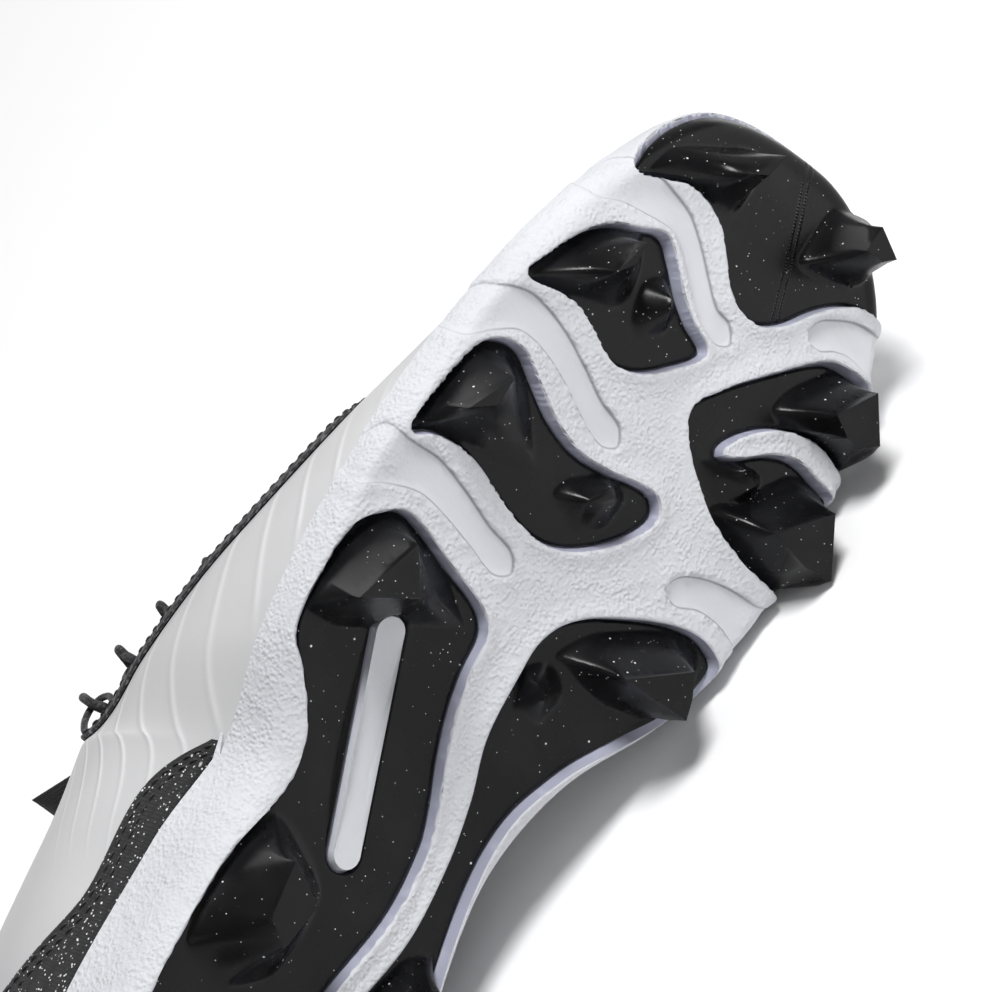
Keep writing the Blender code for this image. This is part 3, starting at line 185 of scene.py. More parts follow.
# %% Plates, studs, grooves and the slot
PLATES = {
    "toe_plate": (
        (88.8, -29.0), (92.6, -27.8), (96.6, -21.5), (99.3, -12.0), (100.8, -1.0), (101.5, 10.0),
        (101.2, 21.0), (99.8, 31.0), (97.0, 39.5), (93.4, 44.5), (92.8, 34.5), (91.6, 28.7),
        (89.8, 23.5), (87.3, 17.9), (85.9, 12.7), (85.6, 7.8), (86.3, 3.2), (88.0, -1.0),
        (89.7, -5.3), (90.5, -10.4), (90.6, -16.3), (89.6, -22.2),
    ),
    "lateral_front_plate": (
        (85.8, -16.6), (84.7, -22.9), (83.7, -28.2), (81.7, -33.4), (78.7, -37.9), (76.7, -40.0),
        (77.3, -32.7), (77.5, -27.3), (76.9, -21.7), (76.1, -16.6), (76.0, -12.2), (76.8, -7.3),
        (78.3, -2.6), (81.0, 3.3), (81.9, -2.1), (83.1, -7.3), (84.7, -12.0),
    ),
    "medial_front_plate": (
        (76.9, 7.1), (79.6, 11.7), (83.7, 22.0), (86.9, 31.4), (87.6, 37.0), (87.6, 44.0),
        (86.0, 49.5), (80.8, 50.5), (81.6, 40.2), (81.5, 34.2), (80.3, 26.5), (78.3, 20.3),
        (76.4, 17.1), (75.6, 18.2), (76.5, 23.0), (78.2, 28.8), (79.1, 34.6), (79.0, 40.6),
        (78.2, 50.6), (74.5, 51.5), (70.8, 50.0), (70.6, 43.0), (70.8, 34.0), (71.7, 23.8),
        (73.4, 15.6), (74.9, 10.4),
    ),
    "lateral_ball_plate": (
        (62.6, -45.0), (63.4, -41.0), (63.9, -36.0), (63.8, -29.7), (63.0, -21.6), (62.4, -14.6),
        (62.3, -8.6), (62.9, -3.2), (64.2, 2.1), (65.7, 6.3), (67.6, 10.0), (69.0, 11.0),
        (69.9, 8.7), (69.7, 3.6), (69.1, -2.5), (68.7, -11.0), (69.4, -19.6), (70.8, -27.4),
        (71.8, -33.0), (71.5, -38.0), (70.2, -41.8), (66.5, -44.2),
    ),
    "lateral_rear_plate": (
        (54.4, -44.4), (56.2, -41.6), (57.5, -37.0), (57.3, -31.0), (56.5, -22.6), (55.6, -12.2),
        (54.5, -8.4), (51.7, -7.0), (48.8, -4.6), (45.6, -0.6), (42.7, 3.6), (40.0, 6.2),
        (35.0, 6.6), (28.0, 2.0), (20.0, -1.4), (12.0, -2.4), (4.6, -3.0), (3.8, -8.0),
        (6.0, -18.0), (10.0, -26.0), (16.0, -30.0), (24.0, -32.0), (31.0, -31.0), (36.0, -27.2),
        (39.2, -26.3), (42.0, -29.0), (44.6, -35.0), (47.0, -42.0), (50.5, -44.0),
    ),
    "medial_rear_plate": (
        (54.2, 3.6), (56.2, 3.5), (58.1, 5.5), (59.8, 10.0), (61.2, 16.0), (62.6, 23.0),
        (63.6, 30.0), (63.8, 36.5), (62.8, 42.0), (60.2, 42.0), (57.4, 38.0), (54.3, 31.4),
        (51.3, 25.5), (48.7, 22.3), (46.4, 20.1), (44.2, 19.2), (41.0, 19.4), (35.0, 22.0),
        (27.0, 27.0), (18.0, 30.0), (11.0, 27.0), (6.4, 18.0), (4.0, 8.0), (4.8, 3.4),
        (12.0, 3.2), (20.0, 4.4), (27.0, 8.0), (34.0, 13.0), (40.0, 12.9), (44.7, 10.0),
        (49.0, 5.3),
    ),
}
STUDS = (
    ("toe_plate", "tall", ((94.9, -6.2), (92.2, -10.6), (92.9, -7.4)),
     ((89.2, -25.8), (92.1, -24.0), (94.9, -12.6), (97.0, -3.0), (94.6, -0.6), (91.4, -3.4),
      (91.0, -13.0))),
    ("toe_plate", "tall", ((96.0, 22.0), (94.9, 28.8), (94.0, 26.0), (93.8, 21.4)),
     ((92.0, 16.4), (94.8, 17.2), (98.1, 20.0), (99.4, 28.0), (96.9, 35.8), (93.8, 31.2))),
    ("lateral_front_plate", "tall", ((82.5, -26.6), (79.4, -29.1), (80.9, -26.2)),
     ((76.9, -39.2), (81.6, -33.0), (83.8, -27.6), (85.2, -20.7), (82.4, -16.5),
      (79.0, -18.5), (77.8, -28.4))),
    ("lateral_front_plate", "low", ((81.9, -11.2), (81.0, -10.2)),
     ((82.2, -15.4), (83.8, -12.0), (82.7, -6.6), (80.3, -5.7), (78.8, -10.2), (79.3, -14.2))),
    ("medial_front_plate", "tall", ((85.7, 37.3), (82.8, 43.4), (81.2, 38.8), (82.4, 31.3)),
     ((81.3, 25.0), (83.8, 26.9), (86.9, 34.0), (87.8, 42.7), (84.3, 49.9), (80.9, 47.0),
      (80.6, 37.7))),
    ("medial_front_plate", "tall", ((76.5, 41.1), (72.6, 45.3), (72.0, 41.1), (72.5, 31.3)),
     ((72.2, 22.0), (75.3, 28.6), (78.4, 35.8), (78.8, 45.4), (74.4, 50.9), (70.6, 46.8),
      (70.9, 34.7))),
    ("medial_front_plate", "low", ((75.7, 23.0), (75.2, 26.3)),
     ((74.6, 14.5), (76.0, 20.1), (76.9, 29.9), (75.2, 31.6), (73.0, 27.6), (73.2, 19.8))),
    ("lateral_ball_plate", "tall", ((68.9, -37.6), (65.2, -42.7), (66.6, -37.8)),
     ((63.0, -44.2), (66.3, -43.6), (70.0, -42.1), (71.5, -36.0), (70.5, -27.9),
      (66.3, -16.4), (65.0, -23.7),
      (64.4, -33.4))),
    ("lateral_ball_plate", "low", ((68.1, -2.8), (67.6, -0.8), (66.3, -5.6)),
     ((65.5, -10.8), (67.2, -9.3), (69.2, -1.4), (68.9, 4.4), (66.0, 3.9), (64.5, -0.4),
      (64.9, -6.4))),
    ("lateral_rear_plate", "tall", ((55.7, -37.4), (53.0, -30.9), (50.4, -42.3)),
     ((53.9, -43.8), (56.1, -41.2), (57.3, -36.0), (56.4, -22.6), (54.0, -10.3),
      (52.0, -21.0), (48.6, -34.1),
      (48.4, -43.8))),
    ("lateral_rear_plate", "tall", ((32.5, -25.8), (28.4, -24.4), (27.6, -18.6), (31.0, -16.8)),
     ((36.2, -25.2), (30.0, -30.6), (25.0, -29.8), (24.0, -17.4), (26.8, -9.6), (33.6, -8.6))),
    ("lateral_rear_plate", "tall", ((12.6, -19.6), (9.0, -13.4), (9.6, -9.6), (14.2, -12.4)),
     ((17.0, -26.6), (10.4, -24.8), (5.2, -15.0), (5.4, -5.4), (11.4, -4.4), (18.4, -11.6))),
    ("medial_rear_plate", "tall", ((57.4, 17.3), (60.9, 30.3), (59.2, 32.9), (57.8, 33.8)),
     ((56.4, 8.6), (59.9, 14.1), (63.0, 27.6), (63.3, 36.9), (60.4, 41.4), (57.6, 36.9),
      (55.8, 22.2))),
    ("medial_rear_plate", "low", ((53.8, 5.9), (53.2, 8.6)),
     ((51.6, 7.4), (54.2, 4.2), (56.0, 7.9), (54.9, 15.4), (51.8, 14.3))),
    ("medial_rear_plate", "tall", ((31.0, 20.6), (27.6, 23.4), (26.6, 17.6), (29.8, 14.6)),
     ((34.6, 20.2), (29.4, 24.8), (24.4, 27.2), (22.4, 16.2), (26.4, 10.0), (33.0, 14.6))),
    ("medial_rear_plate", "tall", ((14.2, 22.6), (10.2, 18.0), (9.6, 12.6), (14.0, 13.4)),
     ((19.0, 27.6), (11.2, 25.4), (6.4, 16.0), (5.6, 6.0), (12.4, 5.0), (18.8, 10.6))),
)
GROOVE_HALF_WIDTH = 0.0034
GROOVES = {
    "front_outer": (
        (87.5, -28.6), (87.8, -20.5), (87.7, -14.5), (86.7, -9.8), (85.0, -4.6), (83.5, 0.6),
        (83.1, 5.6),
    ),
    "front_inner": ((90.1, 41.5), (90.0, 35.4), (89.2, 30.4), (88.2, 26.6)),
    "ball_outer": (
        (73.4, -42.5), (74.4, -36.2), (74.2, -28.3), (73.2, -20.2), (72.0, -12.9),
        (71.4, -6.6),
    ),
    "waist_outer": ((60.2, -44.0), (60.8, -36.2), (60.4, -28.2), (59.7, -20.1), (59.2, -12.8)),
    "waist_inner": ((67.0, 42.0), (67.1, 36.4), (66.7, 30.0), (65.7, 24.4)),
}
SLOT_TURNS = 24
SLOT = {"front": (50.6, -25.0), "rear": (36.6, -8.0), "half_width": 0.0042}

# %% [markdown]
# ## Curves and surfaces of the last
# A smooth ring through the stations gives the tread edge, the side wall of the foam and
# the section of the upper at any column. The foam's outside is a flat plan that is bent
# up at the tread edge, so plates and grooves can be drawn flat and wrapped round it.

# %% Heights along the shoe
def smooth_step(value):
    value = np.clip(value, 0.0, 1.0)
    return value * value * (3.0 - 2.0 * value)


def tread_height(x):
    """Height of the flat underside of the foam at x."""
    toe = np.clip(x / LENGTH - TOE_BREAK, 0.0, None) / (1.0 - TOE_BREAK)
    arch = np.exp(-(((x / LENGTH) - ARCH_PLACE) / ARCH_SPREAD) ** 2)
    return STUD_HEIGHT + TOE_SPRING * toe**2 + ARCH_RISE * arch


def footbed_height(x):
    """Height of the floor of the foam's dish at x."""
    low, high = FOAM_STEP
    fore = smooth_step((x / LENGTH - low) / (high - low))
    return tread_height(x) + HEEL_FOAM * (1.0 - fore) + FOREFOOT_FOAM * fore


def eyestay_share(top_x):
    """Where the band round the throat starts, as a share of the upper's wall."""
    ahead = top_x / LENGTH - EYESTAY_WIDEST
    rise = np.where(ahead < 0, -EYESTAY_REAR_RISE * ahead, EYESTAY_FRONT_RISE * ahead)
    return EYESTAY_LOWEST + rise


def panel_share(edge_x):
    """Where the rear panel ends, as a share of the upper's wall."""
    place = edge_x / LENGTH
    front = PANEL_FOOT + PANEL_FRONT_RISE * (REAR_PANEL_END - place)
    rear = PANEL_REAR_RISE * (PANEL_HEEL - place)
    return np.clip(np.minimum(front, PANEL_SIDE) + np.maximum(rear, 0.0), PANEL_FOOT, 1.0)

# %% The ring of stations
def hermite(rows, places, wanted, period):
    """Smooth periodic curve through rows, at the wanted distances along it."""
    count = len(rows)
    wanted = np.mod(wanted, period)
    start = np.clip(np.searchsorted(places, wanted, side="right") - 1, 0, count - 1)
    after = (start + 1) % count
    gap = np.append(places[1:], period) - places
    before_gap = np.roll(gap, 1)
    slope = (np.roll(rows, -1, axis=0) - np.roll(rows, 1, axis=0)) / (gap + before_gap)[:, None]
    span = gap[start][:, None]
    t = ((wanted - places[start]) / gap[start])[:, None]
    return (
        rows[start] * (2 * t**3 - 3 * t**2 + 1)
        + rows[after] * (3 * t**2 - 2 * t**3)
        + slope[start] * span * (t**3 - 2 * t**2 + t)
        + slope[after] * span * (t**3 - t**2)
    )


def closed_curve(points, count):
    """count points spaced evenly along a smooth closed curve through the given points."""
    points = np.asarray(points, float)
    steps = np.linalg.norm(np.roll(points[:, :2], -1, axis=0) - points[:, :2], axis=1)
    places = np.concatenate([[0.0], np.cumsum(steps)[:-1]])
    period = steps.sum()
    fine_at = np.linspace(0.0, period, 1600, endpoint=False)
    fine = hermite(points, places, fine_at, period)
    lengths = np.linalg.norm(np.roll(fine[:, :2], -1, axis=0) - fine[:, :2], axis=1)
    along = np.concatenate([[0.0], np.cumsum(lengths)])
    even = np.linspace(0.0, along[-1], count, endpoint=False)
    return hermite(points, places, np.interp(even, along, np.append(fine_at, period)), period)


def station_rows():
    """The stations in metres: x, y, foot, flare, rim, lean, top x, y, z, rise, reach, drop."""
    widths = {"ball": BALL_WIDTH, "heel": HEEL_WIDTH}
    heights = {"instep": INSTEP_HEIGHT, "heel": HEEL_HEIGHT}
    rows = []
    for station in STATIONS:
        row = dict(zip(STATION_COLUMNS, station))
        width = widths[row["of"]]
        rows.append((
            row["x"] * LENGTH, row["y"] * width, row["foot"] * FOOT_INSET,
            row["flare"] * RIM_FLARE, row["rim"] * RIM_HEIGHT, row["lean"],
            row["top_x"] * LENGTH, row["top_y"] * width, row["top_z"] * heights[row["up"]],
            row["rise"] * INSTEP_HEIGHT, row["reach"] * INSTEP_HEIGHT, row["drop"] * INSTEP_HEIGHT,
        ))
    return np.array(rows)


def outward_of(loop):
    """Unit normals in plan of a closed loop that runs from the toe by the outer side."""
    along = np.roll(loop, -1, axis=0) - np.roll(loop, 1, axis=0)
    across = np.stack([-along[:, 1], along[:, 0]], axis=1)
    return across / np.linalg.norm(across, axis=1)[:, None]


class Ring:
    """The stations read at evenly spaced columns round the tread edge."""

    def __init__(self, count):
        values = closed_curve(station_rows(), count)
        self.edge = values[:, :2]
        self.out = outward_of(self.edge)
        self.foot, self.flare, self.rim, self.lean = values[:, 2:6].T
        self.top = values[:, 6:9]
        self.rise, self.reach, self.drop = values[:, 9:12].T
        self.edge_z = tread_height(self.edge[:, 0])
        slope = (tread_height(self.edge[:, 0] + 1e-4) - self.edge_z) / 1e-4
        self.slope = slope * self.out[:, 0]


def bezier(points, t):
    """Cubic curve through four control points, with t broadcast over them."""
    first, second, third, fourth = points
    return (
        first * (1 - t) ** 3 + second * 3 * t * (1 - t) ** 2
        + third * 3 * t**2 * (1 - t) + fourth * t**3
    )


def wall_controls(slope, flare, rim, lean):
    """The foam wall from the tread edge to its rim: how far out and how far up."""
    first = np.stack([np.zeros_like(rim), np.zeros_like(rim)], axis=-1)
    handle = 0.20 * rim + 0.45 * flare
    second = np.stack([handle, handle * slope], axis=-1)
    fourth = np.stack([flare, rim], axis=-1)
    third = fourth - np.stack([lean, np.ones_like(rim)], axis=-1) * (0.42 * rim)[..., None]
    return first, second, third, fourth


def wall_length(ring):
    steps = np.linspace(0.0, 1.0, 13)[:, None, None]
    walls = bezier(wall_controls(ring.slope, ring.flare, ring.rim, ring.lean), steps)
    return np.linalg.norm(np.diff(walls, axis=0), axis=2).sum(axis=0)

# %% The foam's outside as a bent sheet
FINE = Ring(720)
FINE_WALL = wall_length(FINE)
EDGE_TREE = KDTree(len(FINE.edge))
for number, (x, y) in enumerate(FINE.edge):
    EDGE_TREE.insert((x, y, 0.0), number)
EDGE_TREE.balance()


def beside_edge(plan):
    """For each plan point: nearest place on the tread edge, distance outside it, direction."""
    nearest = np.array([EDGE_TREE.find((x, y, 0.0))[1] for x, y in plan])
    after = np.roll(FINE.edge, -1, axis=0)
    place, distance, away = None, None, None
    for start in ((nearest - 1) % len(FINE.edge), nearest):
        step = after[start] - FINE.edge[start]
        gap = plan - FINE.edge[start]
        share = np.clip((gap * step).sum(axis=1) / (step**2).sum(axis=1), 0.0, 1.0)
        rest = gap - share[:, None] * step
        size = np.linalg.norm(rest, axis=1)
        if distance is None:
            place, distance, away = start + share, size, rest
            continue
        closer = size < distance
        place = np.where(closer, start + share, place)
        distance = np.where(closer, size, distance)
        away = np.where(closer[:, None], rest, away)
    side = (away * FINE.out[place.astype(int) % len(FINE.edge)]).sum(axis=1)
    return place, np.where(side > 0, distance, -distance), away


def at_place(values, place):
    """Values of the fine ring at fractional places along it."""
    low = np.floor(place).astype(int)
    share = place - low
    if values.ndim > 1:
        share = share[:, None]
    count = len(values)
    return values[low % count] * (1 - share) + values[(low + 1) % count] * share


def sheet(plan):
    """The foam's outside: flat plan points bent onto the underside and up the side wall."""
    plan = np.asarray(plan, float)
    place, distance, away = beside_edge(plan)
    outside = distance > 1e-9
    points = np.column_stack([plan, tread_height(plan[:, 0])])
    if outside.any():
        spot = place[outside]
        edge = at_place(FINE.edge, spot)
        direction = away[outside] / np.linalg.norm(away[outside], axis=1)[:, None]
        share = np.clip(distance[outside] / at_place(FINE_WALL, spot), 0.0, 1.2)[:, None]
        controls = wall_controls(
            at_place(FINE.slope, spot), at_place(FINE.flare, spot),
            at_place(FINE.rim, spot), at_place(FINE.lean, spot),
        )
        wall = bezier(controls, share)
        points[outside, :2] = edge + direction * wall[:, :1]
        points[outside, 2] = at_place(FINE.edge_z, spot) + wall[:, 1]
    return points


def lifted(plan, height):
    """The sheet's points moved off it by height, away from the foam."""
    plan = np.asarray(plan, float)
    step = NORMAL_STEP
    along_x = sheet(plan + (step, 0)) - sheet(plan - (step, 0))
    along_y = sheet(plan + (0, step)) - sheet(plan - (0, step))
    normal = -np.cross(along_x, along_y)
    normal /= np.linalg.norm(normal, axis=1)[:, None]
    return sheet(plan) + normal * np.asarray(height, float).reshape(-1, 1)


def plate_recess(plan):
    """How far a plate lies below the foam: full under the sole, none where it wraps up the side."""
    _, distance, _ = beside_edge(np.asarray(plan, float))
    return PLATE_RECESS * smooth_step(1.0 - distance / RECESS_FADE)


def upper_rows(ring, low_rows=LOW_ROWS, high_rows=HIGH_ROWS):
    """The upper's outer face: rows of points from its bottom edge in the dish to its top edge."""
    out = np.column_stack([ring.out, np.zeros(len(ring.out))])
    up = np.array([0.0, 0.0, 1.0])
    edge = np.column_stack([ring.edge, np.zeros(len(ring.edge))])
    aside = (ring.flare - RIM_LIP - FIT)[:, None]
    rim = edge + out * aside + up * (ring.edge_z + ring.rim)[:, None]
    foot = edge - out * ring.foot[:, None]
    foot[:, 2] = footbed_height(foot[:, 0])
    width = ((rim - foot) * out).sum(axis=1)[:, None]
    tall = (rim - foot)[:, 2:]
    rising = out * ring.lean[:, None] + up
    low = (foot, foot + out * width * 0.8, rim - rising * tall * 0.5, rim)
    high = (
        rim, rim + rising * ring.rise[:, None],
        ring.top + out * ring.reach[:, None] - up * ring.drop[:, None], ring.top,
    )
    rows = [bezier(low, t) for t in np.linspace(0.0, 1.0, low_rows)]
    rows += [bezier(high, t) for t in np.linspace(0.0, 1.0, high_rows)[1:]]
    return np.array(rows)


def row_normals(rows):
    """Outward normals of a grid of rows and closed columns."""
    along = np.roll(rows, -1, axis=1) - np.roll(rows, 1, axis=1)
    rising = np.gradient(rows, axis=0)
    normal = np.cross(rising, along)
    normal /= np.linalg.norm(normal, axis=2)[..., None]
    return normal


def offset_rows(rows, by):
    return rows + row_normals(rows) * by

# %% Outlines in plan
def percent(points):
    return np.asarray(points, float) * (LENGTH / 100.0, BALL_WIDTH / 100.0)


def inside(polygon, points):
    """Which of the points lie inside a plan polygon."""
    polygon = np.asarray(polygon)
    points = np.asarray(points)
    start, end = polygon, np.roll(polygon, -1, axis=0)
    found = np.zeros(len(points), bool)
    for (ax, ay), (bx, by) in zip(start, end):
        crosses = (ay > points[:, 1]) != (by > points[:, 1])
        with np.errstate(divide="ignore", invalid="ignore"):
            at = ax + (points[:, 1] - ay) * (bx - ax) / (by - ay)
        found ^= crosses & (points[:, 0] < at)
    return found


def distance_to(polygon, points, closed=True):
    """Distance of each point from a plan outline."""
    polygon = np.asarray(polygon)
    points = np.asarray(points)
    best = np.full(len(points), np.inf)
    ends = np.roll(polygon, -1, axis=0) if closed else polygon[1:]
    for a, b in zip(polygon, ends):
        step = b - a
        share = np.clip(((points - a) @ step) / max(step @ step, 1e-18), 0.0, 1.0)
        best = np.minimum(best, np.linalg.norm(points - a - share[:, None] * step, axis=1))
    return best


def grown(outline, by):
    """A plan outline moved outward by a distance."""
    after = np.roll(outline, -1, axis=0)
    area = np.sum(outline[:, 0] * after[:, 1] - outline[:, 1] * after[:, 0])
    return outline - outward_of(outline) * by * math.copysign(1.0, area)


def plate_outline(name, count):
    return closed_curve(percent(PLATES[name]), count)


def slot_outline(by=0.0):
    """A straight slot with round ends, in plan, moved outward by a distance."""
    front, rear = percent((SLOT["front"], SLOT["rear"]))
    along = (front - rear) / np.linalg.norm(front - rear)
    across = np.array([-along[1], along[0]])
    angles = np.linspace(-math.pi / 2, math.pi / 2, SLOT_TURNS)
    radius = SLOT["half_width"] + by
    nose = [front + radius * (math.cos(a) * along + math.sin(a) * across) for a in angles]
    tail = [rear - radius * (math.cos(a) * along + math.sin(a) * across) for a in angles]
    return np.array(nose + tail)


def tip_level(x):
    """Height of the stud tips at x: the ground plane, and a little up under the toe spring."""
    toe = np.clip(x / LENGTH - TOE_BREAK, 0.0, None) / (1.0 - TOE_BREAK)
    return TIP_SPRING * TOE_SPRING * toe**2


def studs_of(name):
    """The studs of a plate: height over its face, level of the tip, tip and base in plan."""
    found = []
    for plate_name, kind, tip, base in STUDS:
        if plate_name != name:
            continue
        tip, base = percent(tip), percent(base)
        centre = tip[:, 0].mean()
        level = tip_level(centre) if kind == "tall" else None
        tall = tread_height(centre) - level if kind == "tall" else LOW_STUD_HEIGHT
        found.append((tall + PLATE_RECESS, level, tip, base))
    return found

# %% [markdown]
# ## From a plan to a mesh
# A constrained Delaunay net keeps every outline as a chain of edges, so the rims of
# pockets and plates stay crisp while the field between them is filled with an even grid.

# %% The net
def on_grid(outline, spacing, keep_off):
    """Grid points inside an outline, clear of its edge."""
    low, high = outline.min(axis=0), outline.max(axis=0)
    xs = np.arange(low[0] + spacing / 2, high[0], spacing)
    ys = np.arange(low[1] + spacing / 2, high[1], spacing)
    grid = np.stack(np.meshgrid(xs, ys, indexing="ij"), axis=-1).reshape(-1, 2)
    grid = grid[inside(outline, grid)]
    return grid[distance_to(outline, grid) > keep_off]


def triangulated(loops, loose):
    """Constrained Delaunay triangles inside the first loop, keeping every loop's edges."""
    points, edges = [], []
    for loop in loops:
        first = len(points)
        points += [Vector(p) for p in loop]
        if len(loop) > 2:
            edges += [(first + i, first + (i + 1) % len(loop)) for i in range(len(loop))]
        else:
            edges.append((first, first + 1))
    points += [Vector(p) for p in loose]
    flat, _, faces, _, _, _ = delaunay_2d_cdt(points, edges, [], 1, 1e-7)
    return np.array([tuple(p) for p in flat]), [tuple(f) for f in faces]


def fine_net(outline, lines, spacing):
    """An even net inside an outline that follows each line as a chain of edges."""
    loose = on_grid(outline, spacing, spacing * 0.45)
    for line in lines:
        low, high = line.min(axis=0) - spacing, line.max(axis=0) + spacing
        near = ((loose > low) & (loose < high)).all(axis=1)
        off = np.ones(len(loose), bool)
        off[near] = distance_to(line, loose[near], closed=len(line) > 2) > spacing * 0.42
        loose = loose[off]
    flat, faces = triangulated([outline, *lines], loose)
    corners = flat[np.array(faces)]
    keep = inside(outline, corners.mean(axis=1))
    used, index = np.unique(np.array(faces)[keep], return_inverse=True)
    return flat[used], index.reshape(-1, 3)


def signed_distance(outline, points):
    """Distance from an outline, negative inside it, exact only near it."""
    found = np.full(len(points), 1.0)
    low, high = outline.min(axis=0) - 0.004, outline.max(axis=0) + 0.004
    near = ((points > low) & (points < high)).all(axis=1)
    part = points[near]
    gap = distance_to(outline, part)
    found[near] = np.where(inside(outline, part), -gap, gap)
    return found


def add_net(bm, points, faces, plan, **values):
    """Adds a net to a bmesh, with its plan as UVs and named values for the material."""
    uv = bm.loops.layers.uv.verify()
    layers = {name: bm.verts.layers.float.new(name) for name in values}
    verts = [bm.verts.new(point) for point in points]
    for name, layer in layers.items():
        for vert, value in zip(verts, values[name]):
            vert[layer] = float(value)
    made = []
    for corners in faces:
        face = bm.faces.new([verts[i] for i in corners])
        for loop, corner in zip(face.loops, corners):
            loop[uv].uv = plan[corner] / LENGTH
        made.append(face)
    return made


def extruded(bm, made, flat):
    """Extrudes a net's faces. Returns the moved vertices, with the plan point of each."""
    plan_of = {tuple(vert.co): plan for vert, plan in zip(bm.verts, flat)}
    result = bmesh.ops.extrude_face_region(bm, geom=made)
    moved = [item for item in result["geom"] if isinstance(item, bmesh.types.BMVert)]
    return np.array([plan_of[tuple(vert.co)] for vert in moved]), moved


def finish(name, bm, material, nodes=(), sharp=80.0):
    """Lays a finished mesh into the scene as one piece that stands for CAD nodes."""
    bmesh.ops.recalc_face_normals(bm, faces=bm.faces)
    if bm.calc_volume(signed=True) < 0:
        bmesh.ops.reverse_faces(bm, faces=bm.faces)
    for face in bm.faces:
        face.smooth = True
    for edge in bm.edges:
        edge.smooth = edge.calc_face_angle(0.0) < math.radians(sharp)
    bmesh.ops.transform(bm, matrix=SHOE_TO_SCENE, verts=bm.verts)
    mesh = bpy.data.meshes.new(name)
    bm.to_mesh(mesh)
    bm.free()
    mesh.materials.append(material)
    piece = bpy.data.objects.new(name, mesh)
    bpy.context.scene.collection.objects.link(piece)
    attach(piece, "root")
    if nodes:
        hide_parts(*nodes)
    print(name, len(mesh.polygons), "faces")
    return piece

# %% [markdown]
# ## Materials
# Every finish is built from nodes: a colour, a roughness that varies a little, and
# bumps at the scale of the real grain. Moulded foam has a pebbled skin, the plates are
# satin black with white dust, and the fabrics show their weave.

# %% Node helpers
def material_with(name, colour, roughness):
    """A Principled material, with its node tree and shader."""
    material = bpy.data.materials.new(name)
    material.use_nodes = True
    shader = material.node_tree.nodes["Principled BSDF"]
    shader.inputs["Base Color"].default_value = (*colour, 1.0)
    shader.inputs["Roughness"].default_value = roughness
    return material, material.node_tree, shader


def coordinates(tree, kind="Object"):
    return tree.nodes.new("ShaderNodeTexCoord").outputs[kind]


def noise(tree, where, scale, detail, roughness=0.5):
    node = tree.nodes.new("ShaderNodeTexNoise")
    tree.links.new(where, node.inputs["Vector"])
    node.inputs["Scale"].default_value = scale
    node.inputs["Detail"].default_value = detail
    node.inputs["Roughness"].default_value = roughness
    return node.outputs["Fac"]


def cells(tree, where, scale, feature="F1"):
    node = tree.nodes.new("ShaderNodeTexVoronoi")
    node.feature = feature
    tree.links.new(where, node.inputs["Vector"])
    node.inputs["Scale"].default_value = scale
    return node.outputs["Distance"]


def ramp(tree, value, low, high, first=0.0, last=1.0):
    """A value moved from low..high to first..last and held inside it."""
    node = tree.nodes.new("ShaderNodeMapRange")
    node.clamp = True
    tree.links.new(value, node.inputs["Value"])
    for key, number in (("From Min", low), ("From Max", high), ("To Min", first), ("To Max", last)):
        node.inputs[key].default_value = number
    return node.outputs["Result"]


def combine(tree, operation, first, second):
    """Two values, or a value and a number, through one Math node."""
    node = tree.nodes.new("ShaderNodeMath")
    node.operation = operation
    for socket, value in zip(node.inputs, (first, second)):
        if isinstance(value, (int, float)):
            socket.default_value = value
        else:
            tree.links.new(value, socket)
    return node.outputs["Value"]


def blend_colours(tree, share, first, second):
    node = tree.nodes.new("ShaderNodeMix")
    node.data_type = "RGBA"
    tree.links.new(share, node.inputs["Factor"])
    for socket, value in (("A", first), ("B", second)):
        socket = [s for s in node.inputs if s.name == socket and s.type == "RGBA"][0]
        if isinstance(value, tuple):
            socket.default_value = (*value, 1.0)
        else:
            tree.links.new(value, socket)
    return [s for s in node.outputs if s.type == "RGBA"][0]


def bump(tree, height, distance, strength, under=None):
    node = tree.nodes.new("ShaderNodeBump")
    node.inputs["Strength"].default_value = strength
    node.inputs["Distance"].default_value = distance
    tree.links.new(height, node.inputs["Height"])
    if under is not None:
        tree.links.new(under, node.inputs["Normal"])
    return node.outputs["Normal"]


def split(tree, where):
    """The X and the Y of a vector."""
    node = tree.nodes.new("ShaderNodeSeparateXYZ")
    tree.links.new(where, node.inputs["Vector"])
    return node.outputs["X"], node.outputs["Y"]


def attribute(tree, name):
    node = tree.nodes.new("ShaderNodeAttribute")
    node.attribute_name = name
    return node.outputs["Fac"]


def stretched(tree, where, stretch, turn=(0.0, 0.0, 0.0)):
    """Coordinates turned, then scaled by a different number along each axis."""
    node = tree.nodes.new("ShaderNodeMapping")
    tree.links.new(where, node.inputs["Vector"])
    node.inputs["Scale"].default_value = stretch
    node.inputs["Rotation"].default_value = turn
    return node.outputs["Vector"]


def dots(tree, where, scale, radius, rarity):
    """Round dots in some of the cells of a grid, by how rare they are."""
    near = cells(tree, where, scale)
    dot = ramp(tree, near, 0.65 * radius, radius, 1.0, 0.0)
    chosen = ramp(tree, noise(tree, where, 0.7 * scale, 1.0), rarity, rarity + 0.05)
    return combine(tree, "MULTIPLY", dot, chosen)

